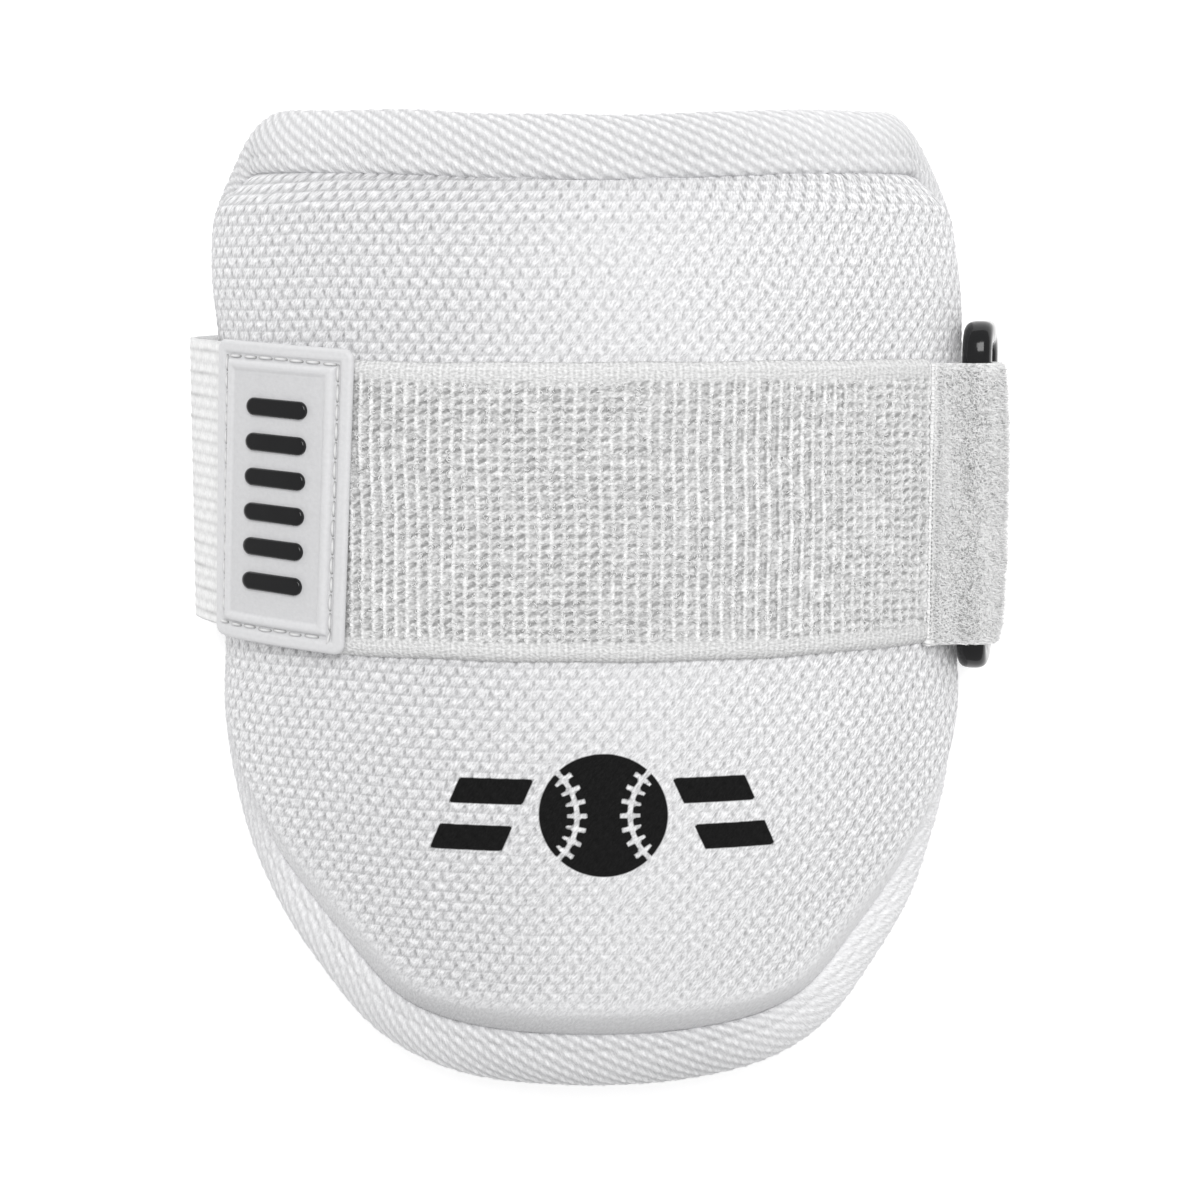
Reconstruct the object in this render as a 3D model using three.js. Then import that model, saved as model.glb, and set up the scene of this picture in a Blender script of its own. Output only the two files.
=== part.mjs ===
// A batter's elbow guard, lying on its back with the strap fastened.
// Millimetres, +Z up. The origin is the middle of the strap's flat back run, which rests on the surface.
// +X points to the ring, +Y to the upper end of the guard, and +Z is the way that its front faces.
import * as THREE from "three";
import { mergeVertices } from "three/addons/utils/BufferGeometryUtils.js";

// Driving dimensions
const STRAP_WIDTH = 50.8; // two-inch webbing
const GAP = 0.3; // clearance between pieces that touch on the real guard
const APEX_HEIGHT = 53; // the pad's front face above the surface
const PAD_DEPTH = 14; // the pad's thickness in the middle

const SAMPLES_ROUND = 96; // points round the pad's outline
const RADIANS = Math.PI / 180;

// The pad's front face across the arm: arcs from the middle out to one side edge
const FACE_ARCS = [
  { stretch: "front", radius: 96, toAngle: 37 },
  { stretch: "shoulder", radius: 28, toAngle: 68 },
  { stretch: "side", radius: 55, toAngle: 97 },
];

// The pad's face along the arm: straight under the strap, then falling back and drawing in towards each end
const STRAIGHT_HALF = 27; // half the stretch that the strap holds straight
const END_BOW_RADIUS = 320;
const UPPER_DRAW_IN = { perLength: 0.0019, easing: 8 };
const LOWER_DRAW_IN = { perLength: 0.0018, easing: 150 };
const SQUEEZE = { share: 0.022, over: 9 }; // the strap holds the pad narrower than its ends
const SIDE_LEAN = { upper: 1.4, lower: 0.3, over: 13 }; // both ends lie a little away from the ring's side

// The pad's outline, cut flat: distance round the arm from the middle, and distance along the arm
const UPPER_END = 67;
const LOWER_END = -106.5;
const SIDE_EDGE = 93;
const UPPER_CORNER = 20; // radius
const UPPER_FLARE = 1.8; // how far the upper edge rises from its middle to its corners
const OUTLINE_MIDDLE = -12; // along the arm
const SKEW = 0.018; // the pad lies a little turned under the strap: sideways shift by length

// The outline's lower half on one side, from the lower end up to the straight side edge
const LOWER_CURVES = [
  {
    stretch: "lower end",
    leave: { round: 42, along: LOWER_END },
    arrive: { round: 45.5, along: -100.5 },
    to: { round: 57, along: -88.5 },
  },
  {
    stretch: "lower side",
    leave: { round: 69, along: -76 },
    arrive: { round: SIDE_EDGE, along: -56 },
    to: { round: SIDE_EDGE, along: -26 },
  },
];

// The rim: twill tape folded over the pad's edge
const TAPE_THICKNESS = 1.2;
const RIM_DEPTH = 8.3; // from the tape's back leg to its front leg
const RIM_WIDTH = 11.3; // how far the tape's front leg reaches in
const RIM_BACK_WIDTH = 10.5; // and its back leg
const STEP_AT_ENDS = 5.7; // how far the pad's face stands above the rim
const STEP_AT_SIDES = 1.8;

// The band across the front, with its ends as distances round the face
const BAND = { thickness: 2, left: -50, right: 62 };

// The fleece tab that holds the ring
const TAB = {
  thickness: 1.3,
  overBar: 88, // degrees about the ring's front bar, where the tab meets it
  offBar: -137, // and where it leaves it
  sewnEnd: 66, // distance round the face
  shift: -0.6, // along the arm, off the strap's middle
};

// The ribbed webbing's way from under the patch, round the back and through the ring
const WEBBING = {
  thickness: 1.5,
  start: -53, // distance round the face, under the patch
  leavesPad: -74, // distance round the face
  side: { x: -72.6, z: 14.5, bulge: 4.5 }, // its middle at its outermost, and how far it stays near it
  leftBend: 13.6, // radii to its middle
  rightBend: 10.5,
  foldBend: 7.4,
  foldedEnd: 36, // x of its end, folded back on itself
};

// The ring
const RING = {
  barAcross: 5.2, // the bar's section, across the ring's plane
  barAlong: 4.6, // and in it
  barSpacing: 14, // between the middles of the long bars
  slotLength: 53.4,
  frontCorner: 3,
  rearCorner: 4,
  frontBar: { round: 70.8, height: 4.75 }, // the front bar's middle, off the face
  lean: 22.2, // degrees off upright
  shift: 0.4, // along the arm, off the strap's middle
};

// The rubber patch on the strap's end
const PATCH = {
  width: 28.6,
  height: 52.6,
  middle: { round: -57, along: 1.8 },
  turn: -3, // degrees
  corner: 1.5,
  flange: 1.3, // thicknesses
  frame: 2.2,
  field: 1.5,
};

// Shapes worked out from the dimensions

// A point on the face across the arm, at a distance round it from the middle: its x, its drop and its slope.
function faceAt(round) {
  let left = Math.abs(round);
  let angle = 0;
  let x = 0;
  let drop = 0;
  for (const { radius, toAngle } of FACE_ARCS) {
    const end = Math.min(toAngle * RADIANS, angle + left / radius);
    x += radius * (Math.sin(end) - Math.sin(angle));
    drop += radius * (Math.cos(angle) - Math.cos(end));
    left -= radius * (end - angle);
    angle = end;
  }
  x += left * Math.cos(angle);
  drop += left * Math.sin(angle);
  return { x: Math.sign(round) * x, drop, angle: Math.sign(round) * angle };
}

// How far a place along the arm lies past the stretch that the strap holds straight.
function pastStrap(along) {
  return Math.max(Math.abs(along) - STRAIGHT_HALF, 0);
}

// The same face with its ends falling back, drawn in and leaning aside, raised by a height off it.
function onFace(round, along, height) {
  const { x, drop, angle } = faceAt(round);
  const past = pastStrap(along);
  const { perLength, easing } = along > 0 ? UPPER_DRAW_IN : LOWER_DRAW_IN;
  const released = SQUEEZE.share * (1 - Math.exp(-((past / SQUEEZE.over) ** 2)));
  const drawnIn = 1 + released - (perLength * past ** 2) / (past + easing);
  const fall = past ** 2 / (2 * END_BOW_RADIUS);
  const lean = along > 0 ? SIDE_LEAN.upper : SIDE_LEAN.lower;
  const aside = lean * (1 - Math.exp(-((past / SIDE_LEAN.over) ** 2)));
  return new THREE.Vector3(
    (x + height * Math.sin(angle)) * drawnIn - aside,
    along,
    APEX_HEIGHT - drop + height * Math.cos(angle) - fall,
  );
}

// The same face under the strap as a flat section, x and z.
function onSection(round, height) {
  const p = onFace(round, 0, height);
  return new THREE.Vector2(p.x, p.z);
}

// A closed surface from rows of points: each row runs round, and the ends are joined or closed with a point.
function closedSurface(rows, { firstPole, lastPole, joined }) {
  const count = rows[0].length;
  const points = rows.flat();
  const faces = [];
  const rowTotal = joined ? rows.length : rows.length - 1;
  for (let i = 0; i < rowTotal; i++) {
    const here = i * count;
    const next = ((i + 1) % rows.length) * count;
    for (let j = 0; j < count; j++) {
      const k = (j + 1) % count;
      faces.push(here + j, next + k, here + k, here + j, next + j, next + k);
    }
  }
  const fan = (pole, row, flip) => {
    const tip = points.push(pole) - 1;
    for (let j = 0; j < count; j++) {
      const k = (j + 1) % count;
      faces.push(tip, row + (flip ? j : k), row + (flip ? k : j));
    }
  };
  if (firstPole) fan(firstPole, 0, true);
  if (lastPole) fan(lastPole, (rows.length - 1) * count, false);
  const geometry = new THREE.BufferGeometry().setFromPoints(points);
  geometry.setIndex(faces);
  return geometry;
}

// The flat outline as a closed row of points with the way in from each, clockwise seen from the front.
function outlinePoints() {
  const half = new THREE.Path();
  half.moveTo(0, LOWER_END);
  for (const { leave, arrive, to } of LOWER_CURVES) {
    half.bezierCurveTo(-leave.round, leave.along, -arrive.round, arrive.along, -to.round, to.along);
  }
  const cornerTop = UPPER_END + UPPER_FLARE;
  const cornerMiddle = { round: SIDE_EDGE - UPPER_CORNER, along: cornerTop - UPPER_CORNER };
  half.lineTo(-SIDE_EDGE, cornerMiddle.along);
  half.absarc(-cornerMiddle.round, cornerMiddle.along, UPPER_CORNER, Math.PI, Math.PI / 2, true);
  half.bezierCurveTo(-cornerMiddle.round / 2, cornerTop, -cornerMiddle.round / 3, UPPER_END, 0, UPPER_END);
  const left = half.getSpacedPoints(SAMPLES_ROUND / 2);
  const right = left.slice(1, -1).reverse().map((p) => new THREE.Vector2(-p.x, p.y));
  const points = [...left, ...right];
  return points.map((p, i) => {
    const before = points.at(i - 1);
    const after = points[(i + 1) % points.length];
    const way = after.clone().sub(before).normalize();
    return { round: p.x, along: p.y, inRound: way.y, inAlong: -way.x };
  });
}

const OUTLINE = outlinePoints();

// How far the face stands above the rim at a point of the outline: most at the two ends.
function stepAt({ inAlong }) {
  return STEP_AT_SIDES + (STEP_AT_ENDS - STEP_AT_SIDES) * inAlong ** 2;
}

// A row of points round the pad, at an inset from its edge, shrunk towards the middle,
// and at a height worked out from the step there.
function padRow({ inset, shrink = 1, height }) {
  return OUTLINE.map((o) => {
    const round = (o.round + o.inRound * inset) * shrink;
    const along = OUTLINE_MIDDLE + (o.along + o.inAlong * inset - OUTLINE_MIDDLE) * shrink;
    return onFace(round - SKEW * along, along, height(stepAt(o)));
  });
}

// Heights above the tape's back leg, as heights off the face.
const aboveRimBack = (level) => (step) => level - RIM_DEPTH - step;
const upTheStep = (share) => (step) => (share - 1) * step;
const TAPE_AND_GAP = TAPE_THICKNESS + GAP;
const towardsBack = (share) => (step) => share * (TAPE_AND_GAP - RIM_DEPTH - step) - (1 - share) * PAD_DEPTH;

// The pad, from the middle of its back, round its edge and up the step to the middle of its face
const EDGE_LEVEL = RIM_DEPTH / 2;
const EDGE_BEND = 0.9; // how far the edge's two bends lie inside its faces
const CROWN_INSET = 19;
const PAD_ROWS = [
  { inset: CROWN_INSET, shrink: 0.3, height: towardsBack(0.1) },
  { inset: CROWN_INSET, shrink: 0.6, height: towardsBack(0.4) },
  { inset: CROWN_INSET, shrink: 0.85, height: towardsBack(0.8) },
  { inset: 14, height: towardsBack(1) },
  { inset: RIM_BACK_WIDTH, height: aboveRimBack(TAPE_AND_GAP) },
  { inset: 7, height: aboveRimBack(TAPE_AND_GAP) },
  { inset: 4, height: aboveRimBack(TAPE_AND_GAP) },
  { inset: 2.3, height: aboveRimBack(TAPE_AND_GAP + EDGE_BEND) },
  { inset: TAPE_AND_GAP, height: aboveRimBack(EDGE_LEVEL) },
  { inset: 2.3, height: aboveRimBack(RIM_DEPTH - TAPE_AND_GAP - EDGE_BEND) },
  { inset: 4, height: aboveRimBack(RIM_DEPTH - TAPE_AND_GAP) },
  { inset: 8, height: aboveRimBack(RIM_DEPTH - TAPE_AND_GAP) },
  { inset: RIM_WIDTH + GAP, height: aboveRimBack(RIM_DEPTH - TAPE_AND_GAP) },
  { inset: RIM_WIDTH + 2 * GAP, height: upTheStep(0) },
  { inset: 13.2, height: upTheStep(0.5) },
  { inset: 15.5, height: upTheStep(0.87) },
  { inset: CROWN_INSET, height: upTheStep(1) },
  { inset: CROWN_INSET, shrink: 0.88, height: upTheStep(1) },
  { inset: CROWN_INSET, shrink: 0.74, height: upTheStep(1) },
  { inset: CROWN_INSET, shrink: 0.58, height: upTheStep(1) },
  { inset: CROWN_INSET, shrink: 0.4, height: upTheStep(1) },
  { inset: CROWN_INSET, shrink: 0.2, height: upTheStep(1) },
];

function padGeometry() {
  return closedSurface(PAD_ROWS.map(padRow), {
    firstPole: onFace(0, OUTLINE_MIDDLE, -PAD_DEPTH),
    lastPole: onFace(0, OUTLINE_MIDDLE, 0),
  });
}

// The edge binding: the tape's section, out round its outside and back along its inside
const TAPE_SECTION = [
  { inset: RIM_BACK_WIDTH, level: 0 },
  { inset: 7, level: 0 },
  { inset: 4, level: 0 },
  { inset: 1.2, level: 1.4 },
  { inset: 0, level: EDGE_LEVEL },
  { inset: 1.2, level: RIM_DEPTH - 1.4 },
  { inset: 4, level: RIM_DEPTH },
  { inset: 8, level: RIM_DEPTH + 0.3 },
  { inset: RIM_WIDTH, level: RIM_DEPTH },
  { inset: RIM_WIDTH, level: RIM_DEPTH - TAPE_THICKNESS },
  { inset: 8, level: RIM_DEPTH - TAPE_THICKNESS },
  { inset: 4, level: RIM_DEPTH - TAPE_THICKNESS },
  { inset: 2, level: RIM_DEPTH - TAPE_THICKNESS - 1 },
  { inset: TAPE_THICKNESS, level: EDGE_LEVEL },
  { inset: 2, level: TAPE_THICKNESS + 1 },
  { inset: 4, level: TAPE_THICKNESS },
  { inset: 7, level: TAPE_THICKNESS },
  { inset: RIM_BACK_WIDTH, level: TAPE_THICKNESS },
];

function bindingGeometry() {
  const rows = TAPE_SECTION.map(({ inset, level }) => padRow({ inset, height: aboveRimBack(level) }));
  return closedSurface(rows, { joined: true });
}

// A strap: a path in the section across the arm, given a thickness and carried along the arm.
function strapGeometry(path, thickness) {
  const side = (way) =>
    path.map((p, i) => {
      const before = path[Math.max(i - 1, 0)];
      const after = path[Math.min(i + 1, path.length - 1)];
      const along = after.clone().sub(before).normalize();
      return new THREE.Vector2(p.x - along.y * way, p.y + along.x * way);
    });
  const outer = side(thickness / 2);
  const inner = side(-thickness / 2).reverse();
  const shape = new THREE.Shape([...outer, ...inner]);
  return new THREE.ExtrudeGeometry(shape, { depth: STRAP_WIDTH, bevelEnabled: false });
}

// Points along the face at one height, from one distance round it to another.
function faceStretch(from, to, height, step) {
  const count = Math.max(2, Math.ceil(Math.abs(to - from) / step));
  return Array.from({ length: count + 1 }, (_, i) => onSection(from + ((to - from) * i) / count, height));
}

// Points on an arc about a middle, between two angles in degrees, without its first point.
function arcStretch(middle, radius, from, to, count) {
  return Array.from({ length: count }, (_, i) => {
    const angle = (from + ((to - from) * (i + 1)) / count) * RADIANS;
    return new THREE.Vector2(middle.x + radius * Math.cos(angle), middle.y + radius * Math.sin(angle));
  });
}

// The loop-faced band lies on the pad's face.
function bandPath() {
  return faceStretch(BAND.right, BAND.left, GAP + BAND.thickness / 2, 4);
}

const STRAP_STEP = 2; // between points of a bent strap

// The ring's two long bars, as seen along the arm.
const FRONT_BAR = onSection(RING.frontBar.round, RING.frontBar.height);
const RING_WAY = new THREE.Vector2(Math.sin(RING.lean * RADIANS), -Math.cos(RING.lean * RADIANS));
const REAR_BAR = FRONT_BAR.clone().addScaledVector(RING_WAY, RING.barSpacing);
const BAR_RADIUS = RING.barAcross / 2;

// The fleece tab butts against the band, goes over the ring's front bar and comes back under itself.
function tabPath() {
  const half = TAB.thickness / 2;
  const level = GAP + BAND.thickness - half;
  const start = faceStretch(BAND.right + GAP, BAND.right + STRAP_STEP, level, STRAP_STEP / 2);
  const turn = arcStretch(FRONT_BAR, BAR_RADIUS + GAP + half, TAB.overBar, TAB.offBar, 14);
  const underside = faceStretch(RING.frontBar.round - STRAP_STEP, TAB.sewnEnd, GAP + half, STRAP_STEP);
  return [...start, ...turn, ...underside];
}

// The ribbed webbing starts under the patch, goes down the left side, flat along the surface,
// up round the ring's rear bar and back over itself.
function webbingPath() {
  const { thickness, side, leftBend, rightBend, foldBend } = WEBBING;
  const half = thickness / 2;
  const wrap = BAR_RADIUS + GAP + half;
  const underPatch = faceStretch(WEBBING.start, WEBBING.leavesPad, GAP + BAND.thickness - half, STRAP_STEP);
  const leaves = underPatch.at(-1);
  const onwards = leaves.clone().sub(underPatch.at(-2)).setLength(side.bulge);
  const shoulder = new THREE.CubicBezierCurve(
    leaves,
    leaves.clone().add(onwards),
    new THREE.Vector2(side.x, side.z + side.bulge),
    new THREE.Vector2(side.x, side.z),
  );
  const leftMiddle = new THREE.Vector2(side.x + leftBend, half + leftBend);
  const rightMiddle = new THREE.Vector2(REAR_BAR.x + wrap - rightBend, half + rightBend);
  const foldedLevel = thickness + GAP + half;
  const foldMiddle = new THREE.Vector2(REAR_BAR.x - wrap - foldBend, foldedLevel + foldBend);
  return [
    ...underPatch,
    ...shoulder.getPoints(8).slice(1),
    ...arcStretch(leftMiddle, leftBend, 180, 270, 8),
    ...arcStretch(rightMiddle, rightBend, 270, 360, 8),
    ...arcStretch(REAR_BAR, wrap, 0, 180, 10),
    ...arcStretch(foldMiddle, foldBend, 0, -90, 7),
    new THREE.Vector2(WEBBING.foldedEnd, foldedLevel),
  ];
}

// The ring: a rounded rectangle of bar, in its own plane.
// X points from the front bar to the rear one, and Y along them.
function ringGeometry() {
  const halfAcross = RING.barSpacing / 2;
  const halfAlong = RING.slotLength / 2 + RING.barAlong / 2;
  const { frontCorner, rearCorner } = RING;
  const corners = [
    { radius: rearCorner, x: halfAcross - rearCorner, y: halfAlong - rearCorner, from: 0 },
    { radius: frontCorner, x: frontCorner - halfAcross, y: halfAlong - frontCorner, from: 90 },
    { radius: frontCorner, x: frontCorner - halfAcross, y: frontCorner - halfAlong, from: 180 },
    { radius: rearCorner, x: halfAcross - rearCorner, y: rearCorner - halfAlong, from: 270 },
  ];
  const stepsPerCorner = 6;
  const middleLine = corners.flatMap(({ radius, x, y, from }) =>
    Array.from({ length: stepsPerCorner + 1 }, (_, i) => {
      const angle = (from + (90 * i) / stepsPerCorner) * RADIANS;
      return { x: x + radius * Math.cos(angle), y: y + radius * Math.sin(angle), angle };
    }),
  );
  const sectionSides = 10;
  const rows = Array.from({ length: sectionSides }, (_, i) => {
    const turn = (2 * Math.PI * i) / sectionSides;
    const out = (RING.barAlong / 2) * Math.cos(turn);
    const up = (RING.barAcross / 2) * Math.sin(turn);
    return middleLine.map(
      ({ x, y, angle }) => new THREE.Vector3(x + out * Math.cos(angle), y + out * Math.sin(angle), up),
    );
  });
  return closedSurface(rows.reverse(), { joined: true });
}

// The patch: a plate wrapped on the band, with a sewn flange, a raised frame and a lower field.
// Its levels are listed from the edge inwards.
const PATCH_LEVELS = [
  { inset: 0, level: PATCH.flange - 0.4 },
  { inset: 0.5, level: PATCH.flange },
  { inset: 2.6, level: PATCH.flange },
  { inset: 3.1, level: PATCH.frame },
  { inset: 4.2, level: PATCH.frame },
  { inset: 4.8, level: PATCH.field },
];

// The patch's flat faces are stepped at these insets, so that they follow the bend below.
const PATCH_UNDERSIDE = [
  { inset: 8, level: 0 },
  { inset: 6, level: 0 },
  { inset: 2, level: 0 },
  { inset: 0, level: 0 },
];
const PATCH_FIELD = [{ inset: 8, level: PATCH.field }];
const PATCH_EDGE_STEPS = { across: 8, down: 6 };

function patchGeometry() {
  const underside = 2 * GAP + BAND.thickness;
  const { round, along } = PATCH.middle;
  const turn = PATCH.turn * RADIANS;
  const wrapped = (x, y, level) =>
    onFace(
      round + x * Math.cos(turn) - y * Math.sin(turn),
      along + x * Math.sin(turn) + y * Math.cos(turn),
      underside + level,
    );
  // A rounded rectangle at an inset, with points spaced along the curved way, clockwise from above.
  const ring = ({ inset, level }) => {
    const halfX = PATCH.width / 2 - inset;
    const halfY = PATCH.height / 2 - inset;
    const cut = Math.max(PATCH.corner - inset, GAP);
    const steps = (half, count) =>
      Array.from({ length: count + 1 }, (_, i) => (half - cut) * ((2 * i) / count - 1));
    const across = steps(halfX, PATCH_EDGE_STEPS.across);
    const down = steps(halfY, PATCH_EDGE_STEPS.down);
    return [
      ...across.map((x) => wrapped(x, halfY, level)),
      ...down.map((y) => wrapped(halfX, -y, level)),
      ...across.map((x) => wrapped(-x, -halfY, level)),
      ...down.map((y) => wrapped(-halfX, y, level)),
    ];
  };
  const rows = [...PATCH_UNDERSIDE, ...PATCH_LEVELS, ...PATCH_FIELD].map(ring);
  return closedSurface(rows, { firstPole: wrapped(0, 0, 0), lastPole: wrapped(0, 0, PATCH.field) });
}

// Materials
const material = (color, roughness) => new THREE.MeshStandardMaterial({ color, roughness, metalness: 0 });
const MESH_FABRIC = material(0xe9e9ea, 0.85);
const TWILL_TAPE = material(0xe4e4e5, 0.8);
const LOOP_ELASTIC = material(0xdcdcdc, 0.95);
const FLEECE = material(0xe6e6e6, 1);
const RIBBED_ELASTIC = material(0xeaeaea, 0.85);
const BLACK_PLASTIC = material(0x16171a, 0.3);
const WHITE_RUBBER = material(0xe2e2e3, 0.55);

function piece(name, geometry, finish) {
  geometry.deleteAttribute("normal");
  geometry.deleteAttribute("uv");
  const joined = mergeVertices(geometry, 1e-4);
  joined.computeVertexNormals();
  const mesh = new THREE.Mesh(joined, finish);
  mesh.name = name;
  return mesh;
}

// A strap's section is drawn in X and Z and carried along Y, about the strap's middle.
function strapPiece(name, path, thickness, finish, shift = 0) {
  const mesh = piece(name, strapGeometry(path, thickness), finish);
  mesh.rotation.x = Math.PI / 2;
  mesh.position.y = STRAP_WIDTH / 2 + shift;
  return mesh;
}

function ringPiece() {
  const mesh = piece("strap_ring", ringGeometry(), BLACK_PLASTIC);
  const middle = FRONT_BAR.clone().add(REAR_BAR).multiplyScalar(0.5);
  const stand = new THREE.Group();
  stand.position.set(middle.x, RING.shift, middle.y);
  stand.rotation.y = (90 - RING.lean) * RADIANS;
  stand.add(mesh);
  return stand;
}

const guard = new THREE.Group();
guard.name = "elbow_guard";
guard.add(
  piece("pad", padGeometry(), MESH_FABRIC),
  piece("edge_binding", bindingGeometry(), TWILL_TAPE),
  strapPiece("loop_band", bandPath(), BAND.thickness, LOOP_ELASTIC),
  strapPiece("ring_tab", tabPath(), TAB.thickness, FLEECE, TAB.shift),
  strapPiece("elastic_strap", webbingPath(), WEBBING.thickness, RIBBED_ELASTIC),
  ringPiece(),
  piece("tab_patch", patchGeometry(), WHITE_RUBBER),
);

export default guard;
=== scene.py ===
"""A batter's elbow guard on its fastened strap: a padded shield of white woven mesh with a bound edge."""

import bmesh
import bpy
import numpy as np
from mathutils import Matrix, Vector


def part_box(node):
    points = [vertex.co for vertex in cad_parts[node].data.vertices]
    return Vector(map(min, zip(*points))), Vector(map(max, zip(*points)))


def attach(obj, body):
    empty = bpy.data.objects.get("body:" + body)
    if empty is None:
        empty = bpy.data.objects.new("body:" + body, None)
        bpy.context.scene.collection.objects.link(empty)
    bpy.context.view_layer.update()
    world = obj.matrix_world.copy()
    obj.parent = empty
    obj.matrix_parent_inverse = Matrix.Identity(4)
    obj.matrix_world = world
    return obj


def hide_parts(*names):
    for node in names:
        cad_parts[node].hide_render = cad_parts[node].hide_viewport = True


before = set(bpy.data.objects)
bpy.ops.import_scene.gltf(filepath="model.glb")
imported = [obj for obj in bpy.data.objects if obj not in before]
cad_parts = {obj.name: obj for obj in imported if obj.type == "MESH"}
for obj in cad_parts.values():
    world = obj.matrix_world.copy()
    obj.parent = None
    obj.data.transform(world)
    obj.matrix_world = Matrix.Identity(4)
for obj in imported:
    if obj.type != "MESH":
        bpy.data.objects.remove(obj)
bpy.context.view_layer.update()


# The pad is a slab of dense foam, moulded to curve round the arm, with a soft knit glued to its hollow back.
# Its rim is pressed thin, so that a tape can be folded over it and sewn through.
# Sizes are in mm: reach goes round the arm on the face, along goes up the arm, and height is off the face.
MM = 0.001
STRAP_WIDTH = (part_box("loop_band")[1].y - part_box("loop_band")[0].y) / MM
APEX_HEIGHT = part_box("pad")[1].z / MM
UPPER_FLARE = 1.8
UPPER_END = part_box("edge_binding")[1].y / MM - UPPER_FLARE
LOWER_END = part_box("edge_binding")[0].y / MM
PAD_DEPTH = 14
SIDE_EDGE = 93
UPPER_CORNER = 20
OUTLINE_MIDDLE = -12
SKEW = 0.018
# The face's arcs from its middle outward: the radius of each, and the face's lean where it ends.
FACE_ARCS = ((96, np.radians(37)), (28, np.radians(68)), (55, np.radians(97)))
STRAIGHT_HALF = 27
END_BOW_RADIUS = 320
UPPER_DRAW_IN, UPPER_EASING = 0.0019, 8
LOWER_DRAW_IN, LOWER_EASING = 0.0018, 150
UPPER_LEAN, LOWER_LEAN, LEAN_OVER = 1.4, 0.3, 13
SQUEEZE, SQUEEZE_OVER = 0.022, 9
RIM_DEPTH = 8.3
RIM_WIDTH = 11.3
STEP_AT_ENDS, STEP_AT_SIDES = 5.7, 1.8
STEP_SOFTNESS = 12
CROWN_INSET = 19
SEAM_INSET = RIM_WIDTH + 0.3
STEP_WIDTH = 5.4
SKIN = 0.5
LINING_RIB = 2.4


def hump(value, middle, width):
    """From 0 to 1 and back: the exponential of minus the squared distance from the middle, in widths."""
    return np.exp(-(((value - middle) / width) ** 2))


def wave(place, pitch):
    """From 0 to 1 and back once in every pitch: half of one and the cosine."""
    return 0.5 + 0.5 * np.cos(2 * np.pi * place / pitch)


def unit(ways):
    """Directions divided by their own lengths."""
    return ways / np.linalg.norm(ways, axis=-1, keepdims=True)


def points_of(*coordinates):
    """Coordinates, each an array or a number, spread to one shape and set side by side as points."""
    return np.stack(np.broadcast_arrays(*coordinates), axis=-1)


def closed(rows):
    """Rows with their first column again at the end."""
    return np.concatenate([rows, rows[:, :1]], axis=1)


def face_at(reach):
    """The face across the arm at an arc length from its middle: three arcs, each adding turn, x and drop."""
    left = np.abs(reach)
    x, drop, lean = np.zeros_like(left), np.zeros_like(left), np.zeros_like(left)
    start = 0.0
    for radius, end in FACE_ARCS:
        turn = np.clip(left / radius, 0, end - start)
        x += radius * (np.sin(start + turn) - np.sin(start))
        drop += radius * (np.cos(start) - np.cos(start + turn))
        lean += turn
        left = left - radius * turn
        start = end
    x += left * np.cos(lean)
    drop += left * np.sin(lean)
    return np.sign(reach) * x, drop, np.sign(reach) * lean


def on_face(reach, along, height):
    """Points at a height off the face: the section by arc length, then past the strap it falls back on a
    circle, draws in by an eased distance and leans aside by a share that levels off."""
    reach, along, height = np.broadcast_arrays(*(np.asarray(a, float) for a in (reach, along, height)))
    x, drop, lean = face_at(reach)
    past = np.maximum(np.abs(along) - STRAIGHT_HALF, 0)
    upper = along > 0
    eased = np.where(upper, UPPER_DRAW_IN / (past + UPPER_EASING), LOWER_DRAW_IN / (past + LOWER_EASING))
    aside = np.where(upper, UPPER_LEAN, LOWER_LEAN) * (1 - hump(past, 0, LEAN_OVER))
    width = 1 + SQUEEZE * (1 - hump(past, 0, SQUEEZE_OVER)) - eased * past**2
    z = APEX_HEIGHT - drop + height * np.cos(lean) - past**2 / (2 * END_BOW_RADIUS)
    return points_of((x + height * np.sin(lean)) * width - aside, along, z)


def cubic(*corners, count=120):
    """Points on a cubic curve: four corners weighted by the powers of t and 1 - t."""
    t = np.linspace(0, 1, count)[:, None]
    a, b, c, d = np.asarray(corners, float)
    return (1 - t) ** 3 * a + 3 * (1 - t) ** 2 * t * b + 3 * (1 - t) * t**2 * c + t**3 * d


def evenly(path, count, joined=False):
    """A path's points set equally far apart, and its length. A joined path leaves out its last point."""
    reach = np.concatenate([[0], np.cumsum(np.linalg.norm(np.diff(path, axis=0), axis=1))])
    at = np.linspace(0, reach[-1], count, endpoint=not joined)
    return np.stack([np.interp(at, reach, column) for column in path.T], axis=1), reach[-1]


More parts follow.
